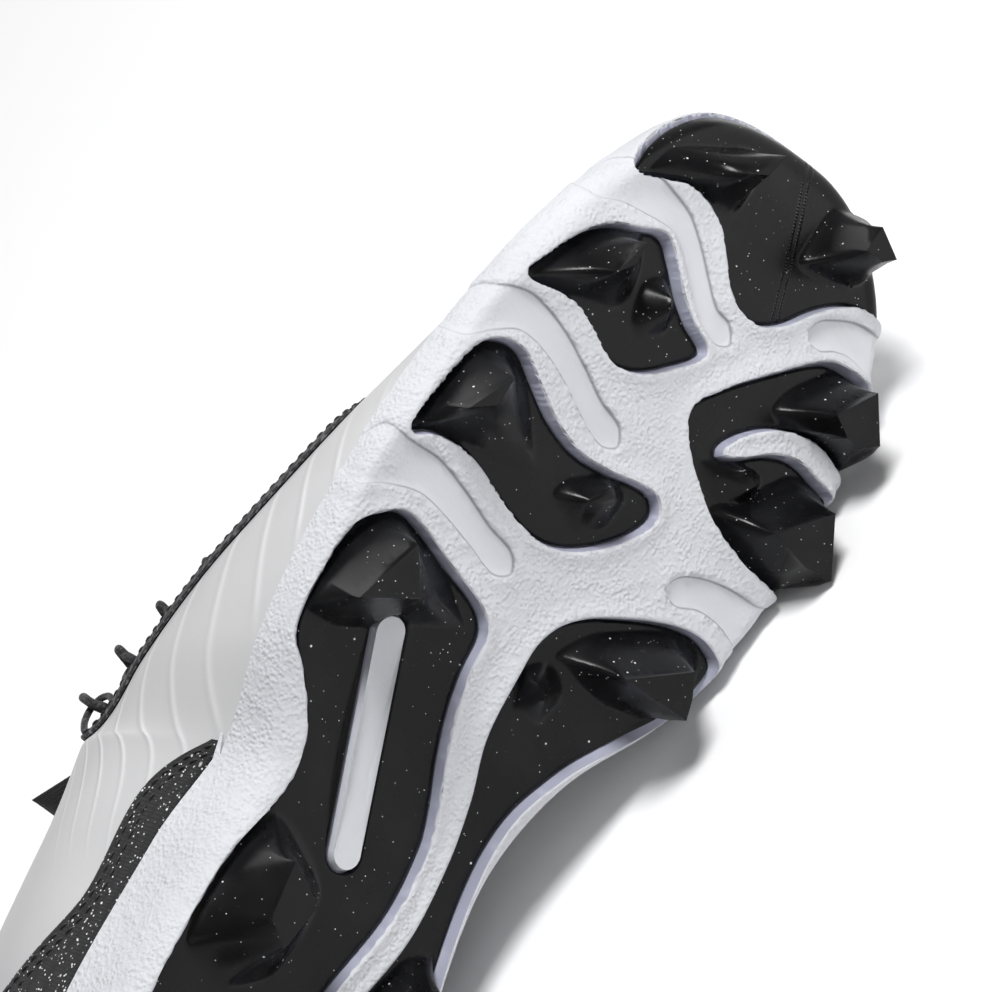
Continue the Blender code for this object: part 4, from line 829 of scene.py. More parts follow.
# %% White foam with a pebbled skin
def foam_material():
    material, tree, shader = material_with("white_foam", (0.80, 0.81, 0.84), 0.55)
    where = coordinates(tree)
    skin = attribute(tree, "skin")
    smooth = ramp(tree, skin, 0.0, 1.0)
    wall = ramp(tree, skin, 1.0, 2.0)
    pebbles = cells(tree, where, 1150.0, "SMOOTH_F1")
    patches = noise(tree, where, 260.0, 3.0, 0.6)
    grain = combine(tree, "MULTIPLY", pebbles, ramp(tree, patches, 0.30, 0.62, 0.15, 1.0))
    height = combine(tree, "MULTIPLY", grain, ramp(tree, smooth, 0.0, 1.0, 1.0, 0.05))
    ripple = noise(tree, where, 60.0, 2.0)
    brushed = noise(tree, stretched(tree, where, (1.0, 0.3, 0.3), (0.0, 0.0, 0.5)), 420.0, 3.0)
    under = bump(tree, brushed, 0.0004, 0.22, bump(tree, ripple, 0.0006, 0.5))
    normal = bump(tree, height, 0.00050, 0.9, under)
    cloud = noise(tree, where, 18.0, 2.0)
    patchy = ramp(tree, cloud, 0.35, 0.7)
    white = blend_colours(tree, patchy, (0.58, 0.59, 0.62), (0.64, 0.65, 0.68))
    # A dark line of painted shade along each groove's wall, where the crease would lie in shadow.
    crease_shaded = blend_colours(tree, attribute(tree, "crease"), white, (0.26, 0.26, 0.29))
    # Pocket walls (skin 2) get a lavender grey: partly the foam's own bluish tint, partly painted
    # shade of the recess.
    colour = blend_colours(tree, wall, crease_shaded, (0.36, 0.37, 0.46))
    tree.links.new(colour, shader.inputs["Base Color"])
    tree.links.new(ramp(tree, height, 0.0, 0.5, 0.50, 0.66), shader.inputs["Roughness"])
    tree.links.new(normal, shader.inputs["Normal"])
    shader.inputs["Specular IOR Level"].default_value = 0.35
    return material


FOAM = foam_material()
print(FOAM.name)

# %% Black moulded plates with white dust
# The fine double line on the toe plate. Its place, slope and widths are in shares of the
# shoe's length, and its beads are a wave with this many radians over that length.
PARTING_LINE = 0.2334
PARTING_SLOPE = 0.197
PARTING_HALF_GAP = 0.0028
PARTING_WIDTH = 0.0015
PARTING_START = (0.85, 0.86)
PARTING_BEADS = 2400.0


def plate_material():
    material, tree, shader = material_with("black_plate", (0.008, 0.008, 0.009), 0.30)
    where = coordinates(tree)
    mottle = noise(tree, where, 900.0, 2.0)
    swirl = noise(tree, where, 45.0, 3.0, 0.6)
    large = dots(tree, where, 300.0, 0.09, 0.56)
    small = dots(tree, where, 820.0, 0.13, 0.56)
    speck = combine(tree, "MAXIMUM", large, small)
    patchy = ramp(tree, swirl, 0.45, 0.75)
    haze = blend_colours(tree, patchy, (0.003, 0.003, 0.0035), (0.008, 0.008, 0.009))
    colour = blend_colours(tree, speck, haze, (0.75, 0.75, 0.76))
    tree.links.new(colour, shader.inputs["Base Color"])
    tree.links.new(ramp(tree, swirl, 0.3, 0.7, 0.20, 0.34), shader.inputs["Roughness"])
    ahead, aside = split(tree, coordinates(tree, "UV"))
    beads = combine(tree, "SINE", combine(tree, "MULTIPLY", ahead, PARTING_BEADS), 0.0)
    middle = combine(tree, "ADD", aside, combine(tree, "MULTIPLY", ahead, PARTING_SLOPE))
    off = combine(tree, "ABSOLUTE", combine(tree, "SUBTRACT", middle, PARTING_LINE), 0.0)
    pair = combine(tree, "ABSOLUTE", combine(tree, "SUBTRACT", off, PARTING_HALF_GAP), 0.0)
    line = ramp(tree, pair, 0.0, PARTING_WIDTH, 1.0, 0.0)
    line = combine(tree, "MULTIPLY", line, ramp(tree, ahead, *PARTING_START))
    parting = combine(tree, "MULTIPLY", line, ramp(tree, beads, -1.0, 1.0, 0.2, 1.0))
    normal = bump(tree, mottle, 0.00004, 0.35, bump(tree, swirl, 0.0006, 0.25))
    normal = bump(tree, parting, 0.0006, 1.0, normal)
    tree.links.new(normal, shader.inputs["Normal"])
    shader.inputs["Specular IOR Level"].default_value = 0.20
    return material


PLATE = plate_material()
print(PLATE.name)

# %% Smooth white synthetic
RIB_COUNT = 38.0
RIB_SLANT = 0.18


def rib_height(tree):
    """Thin slanted ribs on the sides. The UVs hold the place round the shoe and up its wall."""
    round_it, up = split(tree, coordinates(tree, "UV"))
    from_heel = combine(tree, "ABSOLUTE", combine(tree, "SUBTRACT", round_it, 0.5), 0.0)
    slant = combine(tree, "SUBTRACT", from_heel, combine(tree, "MULTIPLY", up, RIB_SLANT))
    wobble = combine(tree, "MULTIPLY", noise(tree, coordinates(tree), 14.0, 1.0), 5.0)
    phase = combine(tree, "ADD", combine(tree, "MULTIPLY", slant, math.pi * RIB_COUNT), wobble)
    wave = combine(tree, "ABSOLUTE", combine(tree, "SINE", phase, 0.0), 0.0)
    line = combine(tree, "POWER", wave, 26.0)
    line = combine(tree, "MULTIPLY", line, ramp(tree, from_heel, 0.13, 0.17))
    line = combine(tree, "MULTIPLY", line, ramp(tree, from_heel, 0.27, 0.33, 1.0, 0.0))
    line = combine(tree, "MULTIPLY", line, ramp(tree, up, 0.04, 0.10))
    return combine(tree, "MULTIPLY", line, ramp(tree, up, 0.75, 0.95, 1.0, 0.0))


def synthetic_material():
    material, tree, shader = material_with("white_synthetic", (0.80, 0.80, 0.80), 0.42)
    where = coordinates(tree)
    grain = noise(tree, where, 1600.0, 2.0)
    cloud = noise(tree, where, 22.0, 3.0)
    base = blend_colours(tree, ramp(tree, cloud, 0.3, 0.7), (0.52, 0.52, 0.53), (0.58, 0.58, 0.585))
    ribs = rib_height(tree)
    # The ribs are also painted lighter: a painted highlight on their crests, on top of their bump.
    colour = blend_colours(tree, combine(tree, "MULTIPLY", ribs, 0.7), base, (0.66, 0.66, 0.67))
    tree.links.new(colour, shader.inputs["Base Color"])
    tree.links.new(ramp(tree, cloud, 0.3, 0.7, 0.36, 0.50), shader.inputs["Roughness"])
    normal = bump(tree, ribs, 0.0004, 0.5, bump(tree, grain, 0.00004, 0.4))
    tree.links.new(normal, shader.inputs["Normal"])
    shader.inputs["Sheen Weight"].default_value = 0.05
    return material


SYNTHETIC = synthetic_material()
print(SYNTHETIC.name)

# %% Woven and knitted blacks
def weave_height(tree, where, scale):
    """The height of a plain weave: two sets of yarns that pass over and under each other."""
    waves = []
    for axis in split(tree, where):
        phase = combine(tree, "MULTIPLY", axis, scale)
        waves.append(combine(tree, "ABSOLUTE", combine(tree, "SINE", phase, 0.0), 0.0))
    return combine(tree, "MULTIPLY", waves[0], waves[1])


def wobbled(tree, where):
    """Coordinates pushed about a little, so that a weave isn't perfectly even."""
    push = tree.nodes.new("ShaderNodeTexNoise")
    tree.links.new(where, push.inputs["Vector"])
    push.inputs["Scale"].default_value = 240.0
    scaled = tree.nodes.new("ShaderNodeVectorMath")
    scaled.operation = "MULTIPLY_ADD"
    tree.links.new(push.outputs["Color"], scaled.inputs[0])
    scaled.inputs[1].default_value = (0.0010, 0.0010, 0.0)
    tree.links.new(where, scaled.inputs[2])
    return scaled.outputs["Vector"]


def fabric_material(name, colour, scale, specks=False, heather=0.0):
    """Black cloth with a weave on its UVs, and white specks where the yarn has them."""
    material, tree, shader = material_with(name, colour, 0.85)
    solid = coordinates(tree)
    where = wobbled(tree, coordinates(tree, "UV"))
    weave = weave_height(tree, where, scale)
    fuzz = noise(tree, solid, 1400.0, 3.0)
    low, high = tuple(0.55 * c for c in colour), tuple(1.5 * c for c in colour)
    base = blend_colours(tree, weave, low, high)
    if heather:
        flecks = noise(tree, stretched(tree, solid, (0.35, 1.0, 1.0)), 1500.0, 2.0)
        share = ramp(tree, flecks, 0.50, 0.68, 0.0, heather)
        base = blend_colours(tree, share, base, (0.30, 0.30, 0.31))
    if specks:
        oval = stretched(tree, solid, (0.65, 1.0, 1.0), (0.0, 0.4, 0.3))
        splash = dots(tree, oval, 210.0, 0.15, 0.50)
        for size, radius, rarity in ((520.0, 0.19, 0.44), (900.0, 0.22, 0.42)):
            splash = combine(tree, "MAXIMUM", splash, dots(tree, solid, size, radius, rarity))
        base = blend_colours(tree, splash, base, (0.74, 0.74, 0.76))
    tree.links.new(base, shader.inputs["Base Color"])
    normal = bump(tree, fuzz, 0.00010, 0.4, bump(tree, weave, 0.00012, 0.9))
    tree.links.new(normal, shader.inputs["Normal"])
    shader.inputs["Sheen Weight"].default_value = 0.15
    shader.inputs["Sheen Roughness"].default_value = 0.5
    return material


PANEL = fabric_material("speckled_panel", (0.010, 0.010, 0.011), 3400.0, specks=True)
LINING = fabric_material("black_lining", (0.020, 0.020, 0.022), 3800.0)
BAND = fabric_material("black_band", (0.016, 0.016, 0.018), 4200.0, heather=0.5)
BRAID = fabric_material("black_braid", (0.020, 0.020, 0.022), 3600.0, heather=0.25)
THREAD = material_with("black_thread", (0.012, 0.012, 0.013), 0.6)[0]
print(PANEL.name, LINING.name, BAND.name, BRAID.name)

# %% [markdown]
# ## The foam midsole
# On the real shoe this is one moulded block of foam. Its outside is flat under the foot,
# bends up at the tread edge and ends in a thin rim round the upper. The plates sit in
# pockets with soft lips. Shallow grooves, bowl-shaped, let the sole flex; a dark line of
# painted shade runs along the wall at their edge. The net gets a loop of edges for each
# change of slope, so that the steps stay clean.

# %% How deep the foam is sunk at each point
LIP = 0.0009
LIP_DROP = 0.00030
WALL_RUN = 0.0005
GROOVE_RUN = 0.0007
GROOVE_LIP = 0.0010
SLOT_DROP = 0.0006
BORDER_HEIGHT = 0.0010
BORDER_WIDTH = 0.0026
FINGER_DEPTH = 0.0006
FINGER_BOWL = 0.0003
RUN_OUT = 0.008
FLARE = (2.2, 1.6, 1.3, 1.12)
FINGER_FADE_FROM = 0.002
FINGER_FADE_OVER = 0.012
FINGER_BORDER = 0.45
POCKET_POINTS = 220
FINGER_POINTS = 160


def pocket_outlines():
    return {name: grown(plate_outline(name, POCKET_POINTS), POCKET_FIT) for name in PLATES}


def run_out(line):
    """The point past a groove's outer end where it fades out on the foam's side."""
    step = line[:1] - line[1:2]
    return line[:1] + step / np.linalg.norm(step) * RUN_OUT


def finger_outline(name):
    """A groove's outline that widens toward the side of the sole."""
    line = percent(GROOVES[name])
    line = np.concatenate([run_out(line), line])
    along = np.gradient(line, axis=0)
    along /= np.linalg.norm(along, axis=1)[:, None]
    wide = np.ones(len(line))
    wide[:len(FLARE)] = FLARE
    half = (GROOVE_HALF_WIDTH * wide)[:, None]
    across = np.column_stack([-along[:, 1], along[:, 0]]) * half
    head = line[:1] - along[:1] * half[0]
    tail = line[-1:] + along[-1:] * half[-1]
    outline = np.concatenate([head, line + across, tail, (line - across)[::-1]])
    return closed_curve(outline, FINGER_POINTS)


def foam_relief(plan):
    """Depth below the sheet, the kind of skin and the mask for the painted crease shade. The skin
    is 0 where it is pebbled, 1 where it is smooth and 2 on a pocket's wall, which the material
    paints lavender grey, partly the foam's own tint and partly painted shade."""
    depth = np.zeros(len(plan))
    skin = np.zeros(len(plan))
    crease = np.zeros(len(plan))
    border = np.zeros(len(plan))
    for name in GROOVES:
        gap = signed_distance(finger_outline(name), plan)
        start = run_out(percent(GROOVES[name]))
        away = np.linalg.norm(plan - start, axis=1)
        fade = smooth_step((away - FINGER_FADE_FROM) / FINGER_FADE_OVER)
        step = smooth_step(-gap / GROOVE_RUN) * fade
        bowl = smooth_step(-gap / GROOVE_HALF_WIDTH)
        depth = np.maximum(depth, (FINGER_DEPTH + FINGER_BOWL * bowl) * step)
        beside = FINGER_BORDER * np.exp(-(gap / BORDER_WIDTH) ** 2) * fade
        border = np.maximum(border, beside * (gap > 0))
        skin = np.maximum(skin, step)
        # A thin band half way down each groove's wall: where the dark painted crease shade goes.
        on_wall = np.abs(gap + GROOVE_RUN / 2) < 0.2 * GROOVE_RUN
        crease = np.maximum(crease, fade * on_wall)
    slot_gap = signed_distance(slot_outline(-FIT), plan)
    for outline in pocket_outlines().values():
        gap = signed_distance(outline, plan)
        border = np.maximum(border, np.exp(-(gap / BORDER_WIDTH) ** 2) * (gap > 0))
        full = plate_recess(plan) + PLATE_WALL + FIT
        lip = LIP_DROP * np.clip(1.0 - gap / LIP, 0.0, 1.0) ** 2
        down = np.clip(-gap / WALL_RUN, 0.0, 1.0)
        wall = lip - BORDER_HEIGHT + (full - lip + BORDER_HEIGHT) * down
        beside = np.maximum(depth, lip * (gap < LIP))
        within = np.maximum(depth - 1.0 * (depth == 0), wall)
        depth = np.where(gap > 0, beside, within)
        # Pocket walls get the value 2, which the material paints lavender grey, partly as painted
        # shade.
        skin = np.where(gap < 0.00002, 2.0, skin)
    island = np.clip(-slot_gap / WALL_RUN, 0.0, 1.0)
    on_slot = slot_gap < 0
    depth = np.where(on_slot, depth + (SLOT_DROP - depth) * smooth_step(island), depth)
    skin = np.where(on_slot & (island > 0.99), 1.0, skin)
    return depth - BORDER_HEIGHT * border, skin, crease


# %% The foam's outside
RIM_COLUMNS = 480
DISH_ROWS = 7
FOAM_NET = 0.0013


def foam_lines():
    """The loops in plan that the foam's net follows."""
    ring = Ring(RIM_COLUMNS)
    length = wall_length(ring)[:, None]
    lines = [ring.edge + ring.out * length * share for share in (0.0, 0.10, 0.22, 0.40, 0.65)]
    for outline in pocket_outlines().values():
        lines += [grown(outline, by) for by in (LIP, 0.4 * LIP, 0.0, -WALL_RUN)]
    for name in GROOVES:
        outline = finger_outline(name)
        lines += [grown(outline, by) for by in (GROOVE_LIP, 0.0, -GROOVE_RUN / 2, -GROOVE_RUN)]
    lines += [slot_outline(-FIT), slot_outline(-FIT - WALL_RUN)]
    return ring.edge + ring.out * length, lines


def foam_piece():
    rim, lines = foam_lines()
    flat, faces = fine_net(rim, lines, FOAM_NET)
    depth, skin, crease = foam_relief(flat)
    bm = bmesh.new()
    add_net(bm, lifted(flat, -depth), faces, flat, skin=skin, crease=crease)
    rim_edges = [edge for edge in bm.edges if edge.is_boundary]
    ring = Ring(RIM_COLUMNS)
    rows = upper_rows(ring, DISH_ROWS)[:DISH_ROWS]
    dish = offset_rows(rows, FIT)
    dish[0] = rows[0] - (0.0, 0.0, FIT)
    loops = []
    for points in dish:
        verts = [bm.verts.new(point) for point in points]
        loops.append([bm.edges.new(pair) for pair in zip(verts, verts[1:] + verts[:1])])
    for low, high in zip(loops, loops[1:]):
        bmesh.ops.bridge_loops(bm, edges=low + high)
    bmesh.ops.bridge_loops(bm, edges=rim_edges + loops[-1])
    bmesh.ops.contextual_create(bm, geom=loops[0])
    bmesh.ops.remove_doubles(bm, verts=bm.verts, dist=1e-6)
    return finish("foam_midsole", bm, FOAM, ["midsole"], sharp=50.0)


foam_piece()

# %% [markdown]
# ## Plates and studs
# Each plate is moulded in one go with its studs. A stud's sides are partly the flat facets
# of the hull of its tip and base, with soft ridges, and partly flowing sides whose height
# follows the distances to both. A power above 1 scoops the flanks and blends the foot
# into the plate, as a mould maker would fillet it.

# %% The shape of a stud
RIDGE_ROUNDING = 0.00055
FACET_SHARE = 0.42
SCOOP = 1.35
PLATE_ROUNDING = 0.0007
ROUNDED_AT = (0.35 * PLATE_ROUNDING, PLATE_ROUNDING)
PLATE_NET = 0.00062
TIP_REACH = 0.0030
STUD_POINTS = 64
PLATE_POINTS = 260


def stud_planes(tall, tip, base):
    """The sides of a stud as planes over the plan: the hull of its base and its tip."""
    bm = bmesh.new()
    for (x, y), z in [(p, 0.0) for p in base] + [(p, tall) for p in tip]:
        bm.verts.new((x, y, z))
    bmesh.ops.convex_hull(bm, input=bm.verts)
    bmesh.ops.recalc_face_normals(bm, faces=bm.faces)
    bm.normal_update()
    upward = [face for face in bm.faces if face.normal.z > 0.02]
    planes = [(face.normal.copy(), face.verts[0].co.copy()) for face in upward]
    bm.free()
    return planes


def facet_share(planes, tall, points):
    """Height of the facets over plan points as a share of the stud's, with soft ridges."""
    heights = np.array([
        point.z
        - (normal.x * (points[:, 0] - point.x) + normal.y * (points[:, 1] - point.y)) / normal.z
        for normal, point in planes
    ])
    lowest = heights.min(axis=0)
    spread = np.exp(-(heights - lowest) / RIDGE_ROUNDING).sum(axis=0)
    return np.clip((lowest - RIDGE_ROUNDING * np.log(spread)) / tall, 0.0, 1.0)


def stud_rise(tall, tip, base, points):
    """A stud's height over plan points: soft facets blended with scooped, flowing sides."""
    foot = closed_curve(base, STUD_POINTS)
    height = np.zeros(len(points))
    near = inside(foot, points)
    part = points[near]
    to_foot = distance_to(foot, part)
    to_tip = distance_to(tip, part)
    if len(tip) > 2:
        to_tip = np.where(inside(tip, part), 0.0, to_tip)
    flowing = to_foot / (to_foot + to_tip + 1e-9)
    facets = facet_share(stud_planes(tall, tip, base), tall, part)
    share = FACET_SHARE * facets + (1.0 - FACET_SHARE) * flowing
    height[near] = tall * np.clip(share, 0.0, 1.0) ** SCOOP
    return height


# %% A plate with its studs
def plate_piece(name):
    outline = plate_outline(name, PLATE_POINTS)
    lines = [grown(outline, by) for by in (-ROUNDED_AT[0], -ROUNDED_AT[1])]
    studs = studs_of(name)
    lines += [tip for _, _, tip, _ in studs]
    hole = name == "lateral_rear_plate"
    if hole:
        lines += [slot_outline(by) for by in (0.0, *ROUNDED_AT)]
    flat, faces = fine_net(outline, lines, PLATE_NET)
    if hole:
        faces = faces[~inside(slot_outline(), flat[faces].mean(axis=1))]
        used, index = np.unique(faces, return_inverse=True)
        flat, faces = flat[used], index.reshape(-1, 3)
    height = np.zeros(len(flat))
    for tall, _, tip, base in studs:
        height = np.maximum(height, stud_rise(tall, tip, base, flat))
    edge = distance_to(outline, flat)
    if hole:
        edge = np.minimum(edge, distance_to(slot_outline(), flat))
    inward = np.clip(1.0 - edge / PLATE_ROUNDING, 0.0, 1.0)
    height -= PLATE_ROUNDING * (1.0 - np.sqrt(1.0 - inward**2))
    face = lifted(flat, height - plate_recess(flat))
    for _, level, tip, _ in studs:
        if level is not None:
            near = inside(grown(tip, TIP_REACH), flat)
            face[near, 2] = np.maximum(face[near, 2], level)
            on_tip = (distance_to(tip, flat) < 1e-6) | inside(tip, flat)
            face[on_tip, 2] = level
    bm = bmesh.new()
    made = add_net(bm, face, faces, flat)
    plans, moved = extruded(bm, made, flat)
    for vert, point in zip(moved, lifted(plans, -plate_recess(plans) - PLATE_WALL)):
        vert.co = point
    return finish(name + "_moulded", bm, PLATE, [name], sharp=55.0)


for plate_name in PLATES:
    plate_piece(plate_name)

# %% [markdown]
# ## The upper
# The upper is a thin synthetic shell. Its section comes from the ring of stations, read
# at many columns, so it is smooth without a subdivision. The low ribs of its sides are in
# the material: they are finer than the mesh.

# %% The outer face
UPPER_COLUMNS = 432
UPPER_LOW = 6
UPPER_HIGH = 44


def sheet_of(points, closed, round_it=None, up_it=None):
    """A grid of points as a bmesh that starts from Blender's own grid. Its UVs are metres,
    or the numbers given for each column and row."""
    rows, columns = points.shape[:2]
    bm = bmesh.new()
    segments = columns if closed else columns - 1
    bmesh.ops.create_grid(bm, x_segments=segments, y_segments=rows - 1, size=1.0)
    order = sorted(bm.verts, key=lambda vert: (round(vert.co.y, 6), round(vert.co.x, 6)))
    across = segments + 1
    uv = bm.loops.layers.uv.verify()
    place = {}
    for number, vert in enumerate(order):
        row, column = divmod(number, across)
        vert.co = points[row, column % columns]
        place[vert] = (row, column)
    if round_it is None:
        lengths = np.linalg.norm(np.diff(points[:, 0], axis=0), axis=1).sum()
        widths = np.linalg.norm(np.diff(points[rows // 2], axis=0), axis=1).sum()
        round_it = np.arange(across) / across * widths
        up_it = np.arange(rows) / rows * lengths
    for face in bm.faces:
        for loop in face.loops:
            row, column = place[loop.vert]
            loop[uv].uv = (round_it[column], up_it[row])
    if closed:
        bmesh.ops.remove_doubles(bm, verts=bm.verts, dist=1e-7)
    return bm


def shell_between(outer, inner, closed):
    """One closed wall between two grids of points: the outer one, a rim, the inner one."""
    bm = sheet_of(np.concatenate([outer, inner[::-1], outer[:1]]), closed)
    bmesh.ops.remove_doubles(bm, verts=bm.verts, dist=1e-7)
    return bm


UPPER = upper_rows(Ring(UPPER_COLUMNS), UPPER_LOW, UPPER_HIGH)
UPPER_NORMALS = row_normals(UPPER)


def upper_piece():
    outer = UPPER
    inner = UPPER - UPPER_NORMALS * UPPER_WALL
    inner[0] = UPPER[0] + (inner[0] - UPPER[0]) * (1, 1, 0)
    middle = (outer[-1:] + inner[-1:]) / 2 + (outer[-1:] - outer[-2:-1]) * 0.3
    rows = np.concatenate([outer, middle, inner[::-1], outer[:1]])
    up = (np.arange(len(rows)) - UPPER_LOW + 1) / (UPPER_HIGH - 1)
    bm = sheet_of(rows, True, np.linspace(0.0, 1.0, UPPER_COLUMNS + 1), up)
    bmesh.ops.remove_doubles(bm, verts=bm.verts, dist=1e-7)
    return finish("upper_shell", bm, SYNTHETIC, ["upper"], sharp=60.0)


upper_piece()

# %% [markdown]
# ## The fabric panel at the rear
# A speckled textile wraps the heel. Its top edge drops along the quarters and ends in a
# low tip by the foam. It is a strip of the upper's own grid with a wall, and two rows of
# stitches follow its edge.

# %% Rows of the upper by their share of its height
def row_at(share):
    return UPPER_LOW - 1 + round(share * (UPPER_HIGH - 1))


def on_upper(share, off):
    """A point over each column of the upper at its own share of the wall."""
    place = UPPER_LOW - 1 + share * (UPPER_HIGH - 1)
    low = np.minimum(np.floor(place).astype(int), len(UPPER) - 2)
    part = (place - low)[:, None]
    columns = np.arange(UPPER_COLUMNS)
    grid = UPPER + UPPER_NORMALS * off
    return grid[low, columns] * (1 - part) + grid[low + 1, columns] * part


# %% The panel
PANEL_ROWS = 30
PANEL_RING = Ring(UPPER_COLUMNS)
PANEL_TOP = panel_share(PANEL_RING.edge[:, 0])
PANEL_COLUMNS = [i for i in range(UPPER_COLUMNS) if PANEL_TOP[i] > PANEL_FOOT + PANEL_TIP]


def softened(share):
    """The panel's top edge with its corners rounded."""
    for _ in range(14):
        share = (np.roll(share, 1) + 2 * share + np.roll(share, -1)) / 4
    return share


def panel_rows(off):
    """Rows of points from the panel's foot to its top edge."""
    top = np.where(PANEL_TOP > PANEL_FOOT, softened(PANEL_TOP), PANEL_FOOT)
    steps = np.linspace(0.0, 1.0, PANEL_ROWS)
    shares = [PANEL_FOOT + (top - PANEL_FOOT) * step for step in steps]
    return np.array([on_upper(share, off) for share in shares])[:, PANEL_COLUMNS]


def rounded_edges(outer, inner):
    """The outer rows drawn in toward the inner ones at both edges, as a cut cloth is."""
    edge = np.minimum(np.arange(len(outer)), np.arange(len(outer))[::-1])
    share = np.array([0.45, 0.12, 0.0])[np.clip(edge, 0, 2)]
    return outer + (inner - outer) * share[:, None, None]


def close_ends(bm):
    bmesh.ops.holes_fill(bm, edges=[edge for edge in bm.edges if edge.is_boundary])


def cloth_strip(rows):
    """A strip of cloth on the upper, from rows of points that can be moved off it."""
    inner = rows(FIT)
    bm = shell_between(rounded_edges(rows(FIT + OVERLAY_WALL), inner), inner, False)
    close_ends(bm)
    return bm


def panel_piece():
    bm = cloth_strip(panel_rows)
    return finish("rear_fabric_panel", bm, PANEL, ["rear_panel"], sharp=60.0)


panel_piece()

# %% Places along a line
def along_line(points, step):
    """Places spaced evenly along a polyline, as fractional indices."""
    lengths = np.concatenate([[0.0], np.cumsum(np.linalg.norm(np.diff(points, axis=0), axis=1))])
    wanted = np.arange(step / 2, lengths[-1] - step / 2, step)
    return np.interp(wanted, lengths, np.arange(len(points)))


def at_index(values, index):
    low = np.clip(np.floor(index).astype(int), 0, len(values) - 2)
    share = (index - low)[:, None]
    return values[low] * (1 - share) + values[low + 1] * share


# %% Stitches as small arched threads
STITCH = 0.0030
STITCH_SHARE = 0.74
THREAD_RADIUS = 0.00028
STITCH_DROPS = (0.0026, 0.0052)


def add_stitches(bm, points, normals, off):
    """Threads that lie along a line and dip into the cloth at both ends."""
    for start in along_line(points, STITCH):
        ends = at_index(points, np.array([start - 0.5, start + 0.5]))
        scale = STITCH / max(np.linalg.norm(ends[1] - ends[0]), 1e-6)
        places = start + np.linspace(-STITCH_SHARE / 2, STITCH_SHARE / 2, 5) * scale
        path = at_index(points, places)
        away = at_index(normals, places)
        lift = off + THREAD_RADIUS * np.array([-1.0, 0.5, 0.8, 0.5, -1.0])
        add_tube(bm, path + away * lift[:, None], THREAD_RADIUS, 6)


def frames_along(path):
    """Two unit directions across a path at each point, turned as little as possible."""
    path = np.asarray(path, float)
    along = np.gradient(path, axis=0)
    along /= np.linalg.norm(along, axis=1)[:, None]
    side = np.cross(along[0], (0.0, 0.0, 1.0))
    if np.linalg.norm(side) < 0.1:
        side = np.cross(along[0], (0.0, 1.0, 0.0))
    first = []
    for direction in along:
        side = side - direction * (side @ direction)
        side = side / np.linalg.norm(side)
        first.append(side)
    first = np.array(first)
    return first, np.cross(along, first)


def add_tube(bm, path, radius, sides):
    """A round tube through a path with rounded ends, from Blender's grid bent round it."""
    path = np.asarray(path, float)
    along = np.gradient(path, axis=0)
    along /= np.linalg.norm(along, axis=1)[:, None]
    first, second = frames_along(path)
    caps = np.linspace(0.0, math.pi / 2, 4)[:-1]
    shares = np.concatenate([np.sin(caps), np.ones(len(path)), np.sin(caps)[::-1]])
    shifts = np.concatenate([-np.cos(caps), np.zeros(len(path)), np.cos(caps)[::-1]]) * radius
    index = np.concatenate([np.zeros(3, int), np.arange(len(path)), np.full(3, len(path) - 1)])
    angles = np.linspace(0.0, 2 * math.pi, sides, endpoint=False)
    circle = (np.cos(angles)[None, :, None] * first[index][:, None]
              + np.sin(angles)[None, :, None] * second[index][:, None])
    centres = path[index] + along[index] * shifts[:, None]
    points = centres[:, None] + circle * (shares * radius)[:, None, None]
    tube = sheet_of(points, True)
    bmesh.ops.remove_doubles(tube, verts=tube.verts, dist=radius * 0.01)
    mesh = bpy.data.meshes.new("tube")
    tube.to_mesh(mesh)
    tube.free()
    bm.from_mesh(mesh)
    bpy.data.meshes.remove(mesh)


# %% Two rows of stitches under the panel's top edge
def panel_stitches():
    bm = bmesh.new()
    rows = panel_rows(0.0)
    for drop in STITCH_DROPS:
        line, normals = [], []
        for number, column in enumerate(PANEL_COLUMNS):
            reach = np.cumsum(np.linalg.norm(np.diff(rows[::-1, number], axis=0), axis=1))
            if reach[-1] > drop + 0.001:
                below = int(np.argmax(reach > drop))
                before = reach[below - 1] if below else 0.0
                share = (drop - before) / (reach[below] - before)
                high, low = rows[-1 - below, number], rows[-2 - below, number]
                line.append(high + (low - high) * share)
                normals.append(UPPER_NORMALS[row_at(PANEL_TOP[column]), column])
        add_stitches(bm, np.array(line), np.array(normals), FIT + OVERLAY_WALL)
    return finish("panel_stitches", bm, THREAD)


panel_stitches()

# %% [markdown]
# ## The band round the throat
# A woven black band borders the throat and carries the lace loops. It follows the top
# edge of the upper, so it is cut from the same grid of points. Its lower edge dips to a
# point on each side.

# %% The band
BAND_ROWS = 22


def band_columns():
    top = UPPER[-1, :, 0]
    half = UPPER_COLUMNS // 2
    return [i for i in range(-half, half) if top[i] > EYESTAY_END * LENGTH]


def band_rows(off):
    """Rows of points from the band's lower edge to the upper's top."""
    start = eyestay_share(UPPER[-1, :, 0])
    shares = [start + (1.0 - start) * step for step in np.linspace(0.0, 1.0, BAND_ROWS)]
    return np.array([on_upper(share, off) for share in shares])[:, band_columns()]


def band_piece():
    bm = cloth_strip(band_rows)
    return finish("throat_band", bm, BAND, ["eyestay"], sharp=60.0)


band_piece()

# %% Stitches along the lower edge of the band
def band_stitches():
    bm = bmesh.new()
    rows = band_rows(0.0)
    for row in (1, BAND_ROWS - 2):
        add_stitches(bm, rows[row], UPPER_NORMALS[-1, band_columns()], FIT + OVERLAY_WALL)
    return finish("band_stitches", bm, THREAD)


band_stitches()

# %% [markdown]
# ## Tongue, loops and lace
# The tongue is a padded sheet that runs from under the vamp to its free end. Cord loops
# stand on the band, and one lace runs round their noses and crosses over the tongue.

# %% The throat read at any place along the shoe
TONGUE_SECTIONS = 11
TONGUE_POINTS = 41


